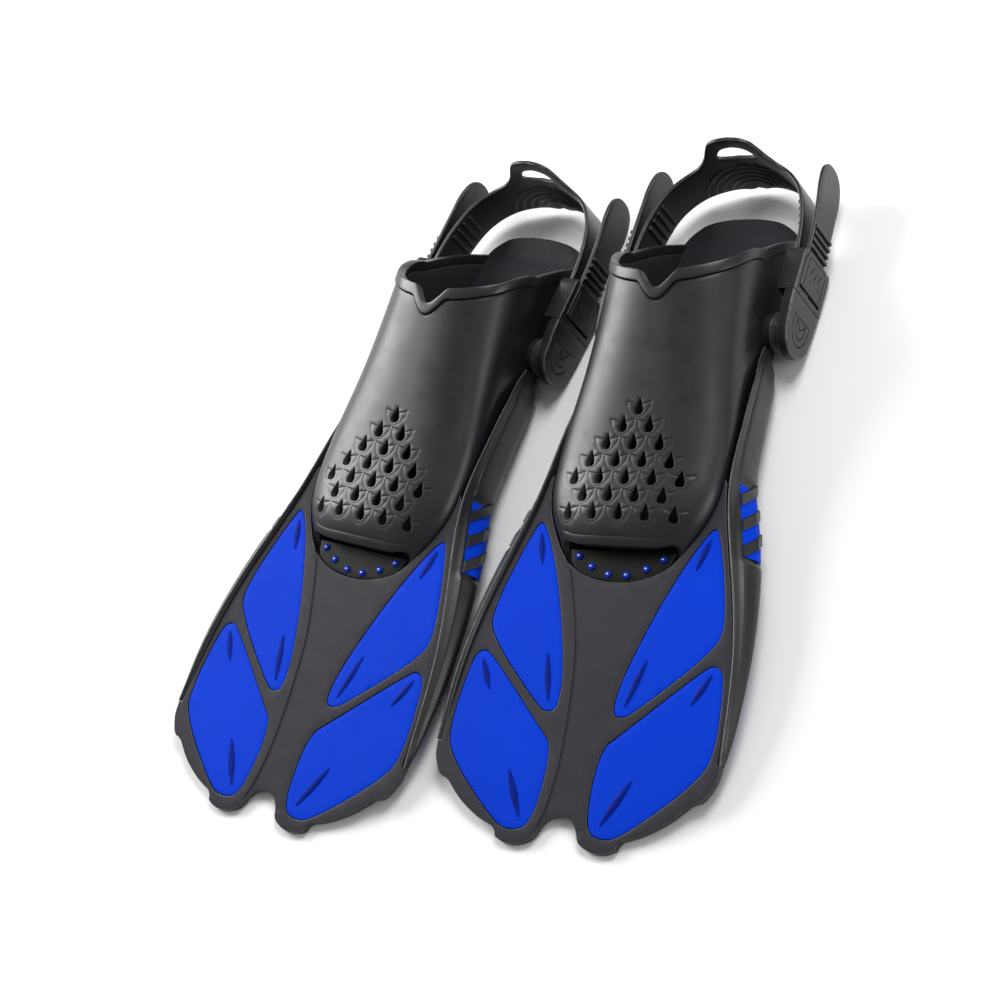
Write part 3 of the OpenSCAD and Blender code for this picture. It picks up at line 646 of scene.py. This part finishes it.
put(build("blade", [blade_geo()], [frame_plastic, rail_plastic]), "blade", "fin", "blade")
upper = build("panel_upper", [panel_geo(panel_up, UP_LEAVES)], [blue_soft])
lower = build("panel_lower", [panel_geo(panel_low, LOW_LEAVES)], [blue_soft])
put_pair(upper, "panel_u{}", "fin")
put_pair(lower, "panel_l{}", "fin")

# ---------------------------------------------------------------- side rails and louvres
TROUGH_D, TROUGH_END = 2.2, 246.0
TROUGH_LEVELS = (0.18, 0.42, 0.74)  # the trough's corners, as shares of the rail's height
TROUGH_IN = 0.55                    # its upper corner, as a share of the way out from the crest
louvre_cut = ramp([[182, 0], [186, TROUGH_D], [242, TROUGH_D], [TROUGH_END, 0]])
second_ridge = ramp([[232, 0], [256, 1], [322, 1], [336, 0.2]])
SLATS, SLAT_LEAN = (186.5, 205.0, 223.5), 14
RAIL_START, RAIL_TABLES, RAIL_END = 44, 338, 350    # RAIL_TABLES: where the tables of its shape end
BESIDE_POCKET, LEAN_IN, MELT = (234, 16), (240, 14), (318, 32)      # where its shape changes: start, length


def share(y, start, length):
    """0 before start, 1 past start + length and straight between."""
    return min(1.0, max(0.0, (y - start) / length))


def rail_ring(y):
    """Section of the rail at y, with a soft second ridge beside the pocket. It melts into the pocket
    just before the buckle's boss."""
    xc, xo, zc, zl = crest_x(y), rail_out(y), crest_z(y), rail_low(y)
    blend = share(y, *BESIDE_POCKET)
    xi = (1 - blend) * (xc - 3) + blend * (pocket_w(y) + 0.15)
    end = share(y, *MELT)
    end = end * end * (3 - 2 * end)
    xo, xc = xo + (xi + 0.9 - xo) * end, xc + (xi + 0.5 - xc) * end
    past = max(0.0, y - RAIL_TABLES)
    zc, zl = zc - past * 0.5, zl + past * 0.9
    lean_in = share(y, *LEAN_IN) * (pocket_w(y) * 0.06 - 0.2)
    c, g = louvre_cut(y), second_ridge(y)

    def level(k):
        return zl + (zc - zl) * k

    z1, z2, z3 = (level(k) for k in TROUGH_LEVELS)
    shoulder_x = xc + (xo - xc) * TROUGH_IN - c * 0.7
    points = [[xi - lean_in, zl], [xo - 3, zl], [xo - 0.4 - c, z1], [xo - c, z2],
              [shoulder_x + 0.6 * g, z3 + 1.0 * g], [shoulder_x - 0.9 * g, level(0.78) + 0.6 * g],
              [(xc + shoulder_x) / 2 + 0.3, level(0.86) - 1.1 * g], [xc + 0.9, zc - 0.5], [xc + 0.1, zc],
              [xc - 0.9, zc - 0.4], [xi, min(zc - 1.6, level(0.8))]]
    p = cut(points, 2)
    return np.column_stack([p[:, 0], np.full(len(p), y), p[:, 1]])


rings = [rail_ring(y) for y in np.arange(RAIL_START, RAIL_END + 0.1, 2.0)]
crest_highlight = np.zeros(len(rings[0]))
# the crest's points take the rail's lighter edge colour: a painted highlight along the crest
crest_highlight[30:34] = 1.0           # the section's points on the crest
rail_mesh = build("rail", [loft(rings, edge=crest_highlight)], [rail_plastic], sharp=50)
put_pair(rail_mesh, "rail_{}", "fin")


def louvre_ring(y, d, lean=0.0):
    """Section of the insert in the rail's trough, d proud of the rail, sheared along the rail by lean."""
    ring = []
    for i, k in enumerate((1, 1, 0.6, 0, 0, 0.6)):
        at = min(y + lean * k, TROUGH_END)
        xc, xo, zc, zl = crest_x(at), rail_out(at), crest_z(at), rail_low(at)
        z1, z2, z3 = (zl + (zc - zl) * level for level in TROUGH_LEVELS)
        xm = xc + (xo - xc) * TROUGH_IN
        x, z = ((xo - 0.1 - TROUGH_D, z1), (xo - 0.4 + d, z1), (xo + d, z2), (xm + d, z3), (xm - 1.2, z3),
                (xo + 0.3 - TROUGH_D, z2))[i]
        ring.append([x, at, z])
    return np.array(ring)


strip = [loft([louvre_ring(y, -1.0) for y in np.linspace(187, 239.5, 28)], mat=0)]
for y0 in SLATS:
    slat = [louvre_ring(y0 + k, d, SLAT_LEAN) for k, d in ((0, -1.0), (0.5, 0.3), (8.3, 0.7), (8.8, -1.0))]
    strip.append(loft(slat, mat=1))
louvre_mesh = build("louvre", strip, [blue_soft, rail_plastic], sharp=30)
put_pair(louvre_mesh, "louvre_{}", "fin")

# ---------------------------------------------------------------- foot pocket
# drain holes: rows as (place along the fin, how many), and the engraved lines round each
ROWS = [(283, 1), (270.5, 2), (258, 3), (245.5, 4), (233, 5), (220.5, 4), (208, 5)]
DROP_PITCH = 20.8
DROPS = [((k - (n - 1) / 2) * DROP_PITCH, y) for y, n in ROWS for k in range(n)]
drop_shape = cut([[0, DROP_L * 0.64], [DROP_W * 0.26, DROP_L * 0.22], [DROP_W * 0.56, -DROP_L * 0.12],
                  [DROP_W * 0.42, -DROP_L * 0.42], [-DROP_W * 0.42, -DROP_L * 0.42],
                  [-DROP_W * 0.56, -DROP_L * 0.12], [-DROP_W * 0.26, DROP_L * 0.22]], 2)
drop_shape = np.vstack([[[0, DROP_L * 0.6]], drop_shape[1:]])
wing = [[2.6, 2.3], [9.4, 3.9]]
shield = [[9.4, 3.9], [8.6, -0.6], [5.2, -5.4], [2.6, -6.9], [0, -7.4]]
arc_s = np.concatenate([np.linspace(0, 0.02, 12), np.linspace(0.022, 1, 400)])
section = skin(np.full(len(arc_s), 300.0), arc_s)
arc_mm = np.concatenate([[0], np.cumsum(np.linalg.norm(np.diff(section, axis=0), axis=1))])
LENGTH = 210.0                      # the pocket's length in the drawing plane
POCKET_BACK = BAND_W + 0.7          # how far before the rim's edge the pocket ends
VEE_ZONE_X, VEE_ZONE_S = 22, 0.085  # where the rim's V needs a finer outline


def pocket_place(x, y, h):
    """Drawing plane to pocket: x is the way round from the crown, y from the hood's lip to the rim."""
    s = np.sign(x) * np.interp(np.abs(x), arc_mm, arc_s)
    along = lip_y(s) + (rim_y(s) - POCKET_BACK - lip_y(s)) * y / LENGTH
    return skin(along, s, -h)


def to_pocket_plane(p):
    """Plan points on the crown to the drawing plane."""
    p = np.asarray(p, float)
    s = way_round(p[:, 0], p[:, 1])
    t = (p[:, 1] - lip_y(s)) / (rim_y(s) - POCKET_BACK - lip_y(s))
    return np.column_stack([np.sign(p[:, 0]) * np.interp(s, arc_s, arc_mm), t * LENGTH])


def pocket_geo():
    """The foot pocket: a shell with drain holes, their engraved shields and wings, and the hood's groove."""
    width = arc_mm[-1]
    side = finer([[-width, 0], [width, 0], [width, LENGTH], [-width, LENGTH]], 2.5)
    near_v = (np.abs(side[:, 0]) < VEE_ZONE_X) & (side[:, 1] > LENGTH - 0.01)
    vee = np.array([[x, LENGTH] for x in np.interp(np.linspace(VEE_ZONE_S, 0, 18), arc_s, arc_mm)])
    vee = np.vstack([vee, vee[::-1][1:] * [-1, 1]])
    first = np.where(near_v)[0][0]
    outline = np.vstack([side[:first], vee, side[np.where(near_v)[0][-1] + 1:]])
    holes, lines = [], []
    for x, y in DROPS:
        holes.append(to_pocket_plane(drop_shape + [x, y]))
        for line in (wing, shield):
            for half in sym(finer(line, 1.6, closed=False)):
                lines.append(half + [x, y])
    groove_x, groove_y, behind_lip = np.linspace(-44, 44, 60), 192, 5.5
    hood = np.column_stack([groove_x, lip_y(way_round(groove_x, groove_y)) + behind_lip])
    # each groove's line, half width and depth, the shields' shallower than the wings'
    wide = [(line, 0.42, 0.22 - 0.12 * (k % 4 > 1)) for k, line in enumerate(lines)] + [(hood, 0.4, 0.2)]
    marks = []
    for line, w, _ in wide:
        marks += [to_pocket_plane(beside(line, k * w)) for k in (-1, 0, 1)]
    centres = [(to_pocket_plane(line), w, depth) for line, w, depth in wide]

    def top(x, y):
        p = np.column_stack([x, y])
        h = np.zeros(len(p))
        for line, w, depth in centres:
            lo, hi = line.min(0) - 1, line.max(0) + 1
            near = np.all((p > lo) & (p < hi), axis=1)
            h[near] = np.minimum(h[near], -depth * np.clip(1 - distance(p[near], line) / w, 0, 1))
        return h

    # painted shade: the grooves darkened by their depth
    def tone(x, y):
        return np.clip(-top(x, y) / 0.2, 0, 1)

    return slab(outline, holes, marks, step=3.0, top=top, bottom=-WALL, r=0.4, arc=3, place=pocket_place,
                tone=tone, side=1)


put(build("pocket", [pocket_geo()], [rubber, tread_rubber], sharp=42), "pocket", "fin", "pocket")

# raised band round the ankle opening
band_s = np.concatenate([np.linspace(0, 0.1, 24)[1:], np.linspace(0.11, 0.5, 44), np.linspace(0.52, 1, 25)])
band_s = np.concatenate([-band_s[::-1], [0], band_s])
band_section = cut([[-9.4, WALL], [-1.6, WALL], [0.2, WALL - 0.2], [0.2, -0.9], [-0.2, -1.7], [-7.6, -1.7],
                    [-8.2, -1.2], [-8.2, 1.0], [-9.4, 1.2]], 2)
band = [[skin(np.array([rim_y(s) + dy]), np.array([s]), d)[0] for dy, d in band_section] for s in band_s]
# the band's front lip takes the lighter edge colour: wear, and a painted highlight along the lip
band_edge = np.array([1.0 if dy > -0.5 else 0.0 for dy, _ in band_section])
put(build("rim", [loft(band, edge=band_edge)], [rim_rubber], sharp=50), "rim", "fin", "rim")

# footbed: toe pan, insole, heel plate
bed_half = curve([[0, 163.85], [20, 166.6], [31, 170.8], [37.5, 175.5], [40.5, 184], [43.5, 191], [51, 198],
                  [56.5, 208], [61.6, 226], [61.8, 250], [60.5, 275], [57.8, 300], [54.6, 330], [53, 365],
                  [52, 400], [50, 430], [46.5, 450], [33, 462], [15, 466], [0, 466.6]], 4)
bed_profile = ramp([[163, -2], [186, -2], [192, bed_top(192)], [449.5, bed_top(449.5)],
                    [458, bed_top(458) + 2], [468, bed_top(466) + 7]])
bed_under = ramp([[163, -11], [178, bed_top(178) - 7], [463, bed_top(463) - 7], [468, bed_top(468) - 4]])


def bed_geo():
    """The footbed: a toe pan, a dark strip under the hood, the sole and the turned-up heel plate."""
    marks = [[[-39 - k, y], [39 + k, y]] for k, y in ((0, 186), (3, 192))] + [[[-45, 449.5], [45, 449.5]]]
    marks = [finer(m, 6, closed=False) for m in marks]
    return slab(finer(mirror_half(bed_half), 5), (), marks, step=7, top=lambda x, y: bed_profile(y),
                bottom=lambda x, y: bed_under(y), r=0.9, arc=3, tone=lambda x, y: (y < 200) * 1.0)


put(build("footbed", [bed_geo()], [bed_plastic]), "footbed", "fin", "footbed")

# tread: bars under the heel and under the ball of the foot
BED_T, TREAD_H, TREAD_W = 7.1, 2, 9


def tread_place(x, y, h):
    """Drawing plane to the underside of the footbed: y along it from the toe, h from the tread's face."""
    a = math.radians(-BED_ANGLE)
    return np.column_stack([x, TOE_Y + y * math.cos(a) - (h - TREAD_H) * math.sin(a),
                            BED_TOE - BED_T + y * math.sin(a) + (h - TREAD_H) * math.cos(a)])


def box_outline(x0, x1, y0, y1, r=2.0):
    """A rectangle with its corners cut off."""
    return finer([[x0 + r, y0], [x1 - r, y0], [x1, y0 + r], [x1, y1 - r], [x1 - r, y1], [x0 + r, y1],
                  [x0, y1 - r], [x0, y0 + r]], 8)


blocks = []
for count, widest, less, start, pitch in ((6, 40, 1.5, 222, 12.4), (5, 46, 1, 60, 13)):
    for k in range(count):
        w = widest - abs(k - 2) * less
        blocks.append(slab(box_outline(-w, w, start + pitch * k, start + TREAD_W + pitch * k), step=6,
                           top=TREAD_H, bottom=0, r=0.6, place=tread_place))
put(build("tread", blocks, [tread_rubber]), "tread", "fin", "tread")

# studs: a blue collar and a metal head
STUD_COLLAR = [[2.7, -2.0], [2.7, -1.4], [2.4, -1.0], [1.8, -0.85], [1.2, -0.95], [1.2, -1.8]]
STUD_HEAD = [[1.0, -1.8], [1.0, -0.8], [0.85, -0.5], [0.55, -0.3], [0.25, -0.22], [0.02, -0.2]]
studs = []
for x, y in ((33, 181.5), (21.5, 174.2), (7.2, 169.2)):
    for side in (-1, 1):
        def at(a, b, h, x=x * side, y=y):
            return np.column_stack([x + a, y + b, h])
        studs += [lathe(STUD_COLLAR, at, 40), lathe(STUD_HEAD, at, 32, mat=1)]
        studs[-2].tone += 0.7
put(build("studs", studs, [blue_soft, stud_metal]), "studs", "fin", "studs")

# ---------------------------------------------------------------- buckles
ARM_R, ARM_HW = 19.0, 21.0          # the arm's round end and half its height
SPLIT_U, CLIP_U = 23.0, 57.0        # where the clip meets the arm, and where it ends
FACE_X = 77                         # outer face of arms and clips
LEVER_X, LEVER_U, BAR_X, BAR_U = 72.4, 32.4, 69.5, 44.0


def groove_top(level, lines, w, depth):
    """A level face with V grooves along lines, the marks that carry them, and how far into a groove each point
    lies, which darkens the grooves as painted shade.
    """
    lines = [np.array(line, float) for line in lines]
    marks = [beside(line, k * w) for line in lines for k in (-1, 0, 1)]

    def amount(x, y):
        p = np.column_stack([x, y])
        a = np.zeros(len(p))
        for line in lines:
            a = np.maximum(a, np.clip(1 - distance(p, line) / w, 0, 1))
        return a

    return (lambda x, y: level - depth * amount(x, y)), marks, amount


def arm_geo():
    """The swivelling arm with its engraved rings and chevron, and the boss round the post."""
    a = np.radians(np.arange(110, 251, 7))
    outline = np.vstack([[[SPLIT_U, -ARM_HW], [SPLIT_U, ARM_HW], [12, 20.6]],
                         np.column_stack([ARM_R * np.cos(a), ARM_R * np.sin(a)]), [[12, -20.6]]])
    b = np.radians(np.arange(90, 271, 12))
    ring = np.vstack([[[9, 0]], [[9, 11.5]], np.column_stack([3 + 13.5 * np.cos(b), 11.5 * np.sin(b)]),
                      [[9, -11.5]], [[9, 0]]])
    inner = np.vstack([[[5, 6.5]], np.column_stack([1.5 + 6.5 * np.cos(b), 6.5 * np.sin(b)]), [[5, -6.5]]])
    chevron = np.array([[5.4, 4.6], [0.5, 0], [5.4, -4.6]])
    lines = [finer(p, 2.0, closed=False) for p in (ring, inner, chevron)]
    # the grooves darkened as painted shade
    top, marks, tone = groove_top(FACE_X, lines, 0.65, 0.8)
    plate = slab(finer(outline, 3), (), marks, step=4, top=top, bottom=68.8, r=1.5, arc=5, place=in_buckle,
                 tone=tone)
    boss = lathe([[9.2, 60], [13.2, 60], [14, 60.7], [14, 69.2], [9.2, 69.2]], in_buckle, 72, edge_wear_and_light=(2,))
    return [plate, boss]


put_pair(build("arm", arm_geo(), [buckle_plastic], sharp=40), "arm_{}", "arm_body_{}")


def pin_place(x0, u0):
    """Turned parts whose axis runs up the buckle through (x0, u0)."""
    return lambda a, b, h: from_buckle(x0 + a, u0 + b, h)


def clip_geo():
    """The clip: a fork round the lever and the bar, the tongue that slides into the arm, and a dark dimple at
    each end of the bar."""
    hw, inner = ARM_HW, 16.6
    near, far = SPLIT_U + 0.4, SPLIT_U + 4.6
    outline = [[near, -hw], [CLIP_U - 3, -hw], [CLIP_U, -hw + 1.6], [CLIP_U, -inner], [far, -inner],
               [far, inner], [CLIP_U, inner], [CLIP_U, hw - 1.6], [CLIP_U - 3, hw], [near, hw]]
    body = slab(finer(outline, 3), step=4, top=FACE_X, bottom=62.4, r=0.9, arc=4, place=in_buckle)
    tongue = slab(finer([[6, -10], [25, -10], [25, 10], [6, 10]], 3), step=5, top=74.4, bottom=71, r=0.5,
                  place=in_buckle)
    dimples = []
    for z in (-hw, hw):
        end = np.sign(z) * 0.06
        dimples.append(lathe([[0.02, z - end], [1.3, z - end], [1.3, z + end], [0.02, z + end]],
                             pin_place(BAR_X, BAR_U), 28, mat=1))
    return [body, tongue] + dimples


put_pair(build("clip", clip_geo(), [buckle_plastic, tread_rubber], sharp=40), "clip_{}", "strap_body")


def lever_geo():
    """The squeeze lever: a plate with engraved strokes, two barrels round the pin and the webs between."""
    lo, hi, w = LEVER_U - 2.9, LEVER_U + 24.1, 16.2
    barrel_z, barrel_l = (5.6, -16.2), 10.6
    outline = [[lo, -w], [hi - 3, -w], [hi, -w + 3], [hi, w - 3], [hi - 3, w], [lo, w]]
    border = [[lo + 1.5, 13.2], [hi - 5, 13.2], [hi - 2.8, 11], [hi - 2.8, -11], [hi - 5, -13.2],
              [lo + 1.5, -13.2]]
    strokes = [curve([[lo + 7 + k, v], [lo + 12 + k, v + 2.2], [lo + 17 + k, v]], 6) for k, v in
               ((1.5, -7), (0, -1.2), (1.5, 4.8))]
    # the grooves darkened as painted shade
    top, marks, tone = groove_top(FACE_X + 0.8, [finer(border, 2, closed=False)] + strokes, 0.6, 0.7)
    plate = slab(finer(outline, 3), (), marks, step=3.5, top=top, bottom=75.4, r=0.6, arc=3, place=in_buckle,
                 tone=tone)
    barrels = [lathe([[1.55, z], [2.7, z], [2.9, z + 0.3], [2.9, z + 10.3], [2.7, z + barrel_l],
                      [1.55, z + barrel_l]], pin_place(LEVER_X, LEVER_U), 40) for z in barrel_z]
    webs = [slab(finer([[lo, z], [lo + 5.8, z], [lo + 5.8, z + barrel_l], [lo, z + barrel_l]], 4), step=4,
                 top=75.5, bottom=LEVER_X, r=0.4, place=in_buckle) for z in barrel_z]
    return [plate] + barrels + webs


put_pair(build("lever", lever_geo(), [buckle_plastic], sharp=40), "lever_{}", "lever_body_{}")


def coil_geo(turns=7, r=2.1, wire=0.45, half=4.4):
    """The lever's return spring round its pin."""
    n, m = turns * 20, 8
    t = np.linspace(0, turns * 2 * np.pi, n)
    centre = np.column_stack([r * np.cos(t), r * np.sin(t), np.linspace(-half, half, n)])
    rings, up = [], np.array([0, 0, 1.0])
    for k in range(n):
        out = np.array([math.cos(t[k]), math.sin(t[k]), 0])
        rings.append([centre[k] + wire * (math.cos(a) * out + math.sin(a) * up)
                      for a in np.linspace(0, 2 * np.pi, m, endpoint=False)])
    g = loft(rings)
    g.verts = from_buckle(LEVER_X + g.verts[:, 0], LEVER_U + g.verts[:, 1], g.verts[:, 2])
    return g


put_pair(build("spring", [coil_geo()], [steel], sharp=60), "spring_{}", "strap_body")


def pins_geo():
    """The strap's bar and the lever's pin, with their ends just inside the clip's cheeks."""
    geos, half = [], ARM_HW - 0.6
    for x, u, r in ((BAR_X, BAR_U, 2.0), (LEVER_X, LEVER_U, 1.5)):
        profile = [[0.02, -half], [r * 0.75, -half], [r, -half + 0.3], [r, half - 0.3], [r * 0.75, half],
                   [0.02, half]]
        geos.append(lathe(profile, pin_place(x, u), 40))
    return geos


put_pair(build("bar", pins_geo(), [steel], sharp=40), "bar_{}", "strap_body")

# ---------------------------------------------------------------- heel strap
STRAP_T, BEND_R = 3.0, 3.8          # the strap and the bend of its middle layer round the bar
loop = curve([[0, 137], [20, 134.5], [40, 125.5], [54, 110], [61.5, 90], [65, 68], [65.7, 50],
              [65.7, 44]], 12)
turn = np.array([[BAR_X + BEND_R * math.cos(a), BAR_U + BEND_R * math.sin(a)]
                 for a in np.radians(range(190, 360, 12))])
tail = curve([[73.3, 44], [73.4, 60], [72.6, 84], [70.3, 110], [67, 136]], 12)
path = np.vstack([loop, turn, tail])
path_len = np.concatenate([[0], np.cumsum(np.linalg.norm(np.diff(path, axis=0), axis=1))])
# lengths from the middle of the heel to the bar, past it and to the tail's end
LOOP_L, TURN_L, END_L = path_len[len(loop) - 1], path_len[len(loop) + len(turn)], path_len[-1]
slope = np.gradient(path, path_len, axis=0)
slope /= np.linalg.norm(slope, axis=1)[:, None]
RIDGE_W, RIDGE_H, RIDGE_Z = 1.15, 0.75, -19    # curved ridges inside the heel


def strap_place(x, y, h):
    """x runs along the strap from the middle of the heel, y up it, h toward the foot."""
    a = np.abs(x)
    px, pu = (np.interp(a, path_len, path[:, k]) for k in (0, 1))
    tx, tu = (np.interp(a, path_len, slope[:, k]) for k in (0, 1))
    size = np.hypot(tx, tu)
    return from_buckle(np.sign(x + 1e-9) * (px + tu / size * h), pu - tx / size * h, y)


def strap_geos():
    """The strap with its pull tab and slot, the ridges inside the heel and the ribs near the buckles."""
    top_half = [[0, 41.4], [9, 41.0], [17, 37.5], [21.5, 31], [25.5, 24], [31, 18], [38, 15.2], [48, 14.6],
                [70, 15.3], [LOOP_L - 22, 15], [LOOP_L - 8, 13.4], [TURN_L, 13], [TURN_L + 12, 13]]
    low_half = [[0, -19.5], [6, -20.8], [12, -19.6], [22, -18.4], [40, -16.6], [70, -15], [LOOP_L - 22, -15],
                [LOOP_L - 8, -13.4], [TURN_L, -13], [TURN_L + 12, -13]]
    paddle = [[TURN_L + 30, 13.2], [END_L - 38, 14.8], [END_L - 22, 16.2], [END_L - 9, 14.2],
              [END_L - 2, 8.5], [END_L, 0], [END_L - 2, -8.5], [END_L - 9, -14.2], [END_L - 22, -16.2],
              [END_L - 38, -14.8], [TURN_L + 30, -13.2]]
    outline = finer(mirror_half(curve(top_half + paddle + low_half[::-1], 6)), 2.5)
    slot = cut([[-17, 18.8], [17, 18.8], [14, 25.5], [8, 31.5], [-8, 31.5], [-14, 25.5]], 3)
    a = np.radians(np.linspace(180, 0, 28))
    arcs = [np.column_stack([r * 1.12 * np.cos(a), RIDGE_Z + (r * 0.80) * np.sin(a)])
            for r in (12, 18, 24, 30, 36)]
    arcs = [p[p[:, 1] > -14.5] for p in arcs]
    marks = [beside(p, k * RIDGE_W) for p in arcs for k in (-1, -0.5, 0, 0.5, 1)]

    def top(x, y):
        p = np.column_stack([x, y])
        h = np.full(len(p), STRAP_T / 2)
        near = np.abs(x) < 48
        best = np.full(near.sum(), 9.0)
        for line in arcs:
            best = np.minimum(best, distance(p[near], line))
        h[near] += RIDGE_H * np.cos(np.clip(best / RIDGE_W, 0, 1) * np.pi / 2)
        return h

    geos = [slab(finer(outline, 2.5), [finer(slot, 2)], marks, step=4, top=top, bottom=-STRAP_T / 2, r=0.8,
                 arc=3, place=strap_place)]
    rib_w, rib_z = 2.3, 12.6
    for sign in (-1, 1):
        for base, pitch in ((LOOP_L - 40, -6.5), (TURN_L + 17.5, 5.5)):
            for k in range(4):
                x = base + pitch * k
                lo, hi = sorted((sign * x, sign * (x + rib_w)))
                geos.append(slab(finer([[lo, -rib_z], [hi, -rib_z], [hi, rib_z], [lo, rib_z]], 2.4), step=3,
                                 top=3.3, bottom=1.2, r=0.5, place=strap_place))
    return geos


put(build("strap", strap_geos(), [strap_rubber], sharp=42), "strap", "strap_body", "strap")

# ---------------------------------------------------------------- CAD nodes that stay
for side in FINS:
    for k in "lr":
        for slot in frame["nodes"][f"{side}_post_{k}"].material_slots:
            slot.link, slot.material = "OBJECT", bed_plastic

# ---------------------------------------------------------------- stage, light and camera
floor_mesh = bpy.data.meshes.new("floor")
floor_half = 6                      # metres
floor_mesh.from_pydata([(x * floor_half, y * floor_half, 0) for x, y in ((-1, -1), (1, -1), (1, 1), (-1, 1))],
                       [], [(0, 1, 2, 3)])
floor = bpy.data.objects.new("floor", floor_mesh)
bpy.context.scene.collection.objects.link(floor)
floor_paint = bpy.data.materials.new("floor_paint")
floor_paint.use_nodes = True
paint = floor_paint.node_tree.nodes["Principled BSDF"].inputs
paint["Base Color"].default_value = (0.93, 0.93, 0.93, 1)
paint["Roughness"].default_value = 0.9
floor_mesh.materials.append(floor_paint)

world = bpy.data.worlds.new("studio")
world.use_nodes = True
sky = world.node_tree.nodes["Background"].inputs
sky["Color"].default_value = (1, 1, 1, 1)
sky["Strength"].default_value = 0.3
bpy.context.scene.world = world

middle = Vector((cad_box[0] + cad_box[1]) / 2)


def softbox(name, towards, distance_m, size, watts):
    """A square area light that looks at the middle of the fins."""
    lamp = bpy.data.lights.new(name, "AREA")
    lamp.shape, lamp.size, lamp.energy = "SQUARE", size, watts
    o = bpy.data.objects.new(name, lamp)
    bpy.context.scene.collection.objects.link(o)
    d = Vector(towards).normalized()
    o.location = middle + d * distance_m
    o.rotation_mode = "QUATERNION"
    o.rotation_quaternion = d.to_track_quat("Z", "Y")


softbox("key", (-0.85, 0.2, 0.5), distance_m=1.6, size=0.85, watts=26)
softbox("top", (0.3, 0.7, 0.95), distance_m=1.9, size=0.9, watts=24)
softbox("right", (1.0, 0.0, 0.45), distance_m=1.9, size=0.7, watts=8)

# where the camera stands, where it looks and which way is up, from the fins' shapes in the photograph
CAM_AT = (1.0642, -0.6802, 1.3706)
CAM_FORWARD = (-0.5834, 0.3605, -0.7278)
CAM_UP = (-0.097, 0.8588, 0.5031)
forward, up = Vector(CAM_FORWARD).normalized(), Vector(CAM_UP)
right = forward.cross(up).normalized()
up = right.cross(forward)
cam_data = bpy.data.cameras.new("camera")
cam_data.sensor_width, cam_data.lens = 36.0, 94.1
cam_data.clip_start, cam_data.clip_end = 0.05, 20
cam = bpy.data.objects.new("camera", cam_data)
bpy.context.scene.collection.objects.link(cam)
cam.matrix_world = Matrix([[right[i], up[i], -forward[i], CAM_AT[i]] for i in range(3)] + [[0, 0, 0, 1]])
bpy.context.scene.camera = cam
bpy.context.scene.view_settings.view_transform = "Standard"
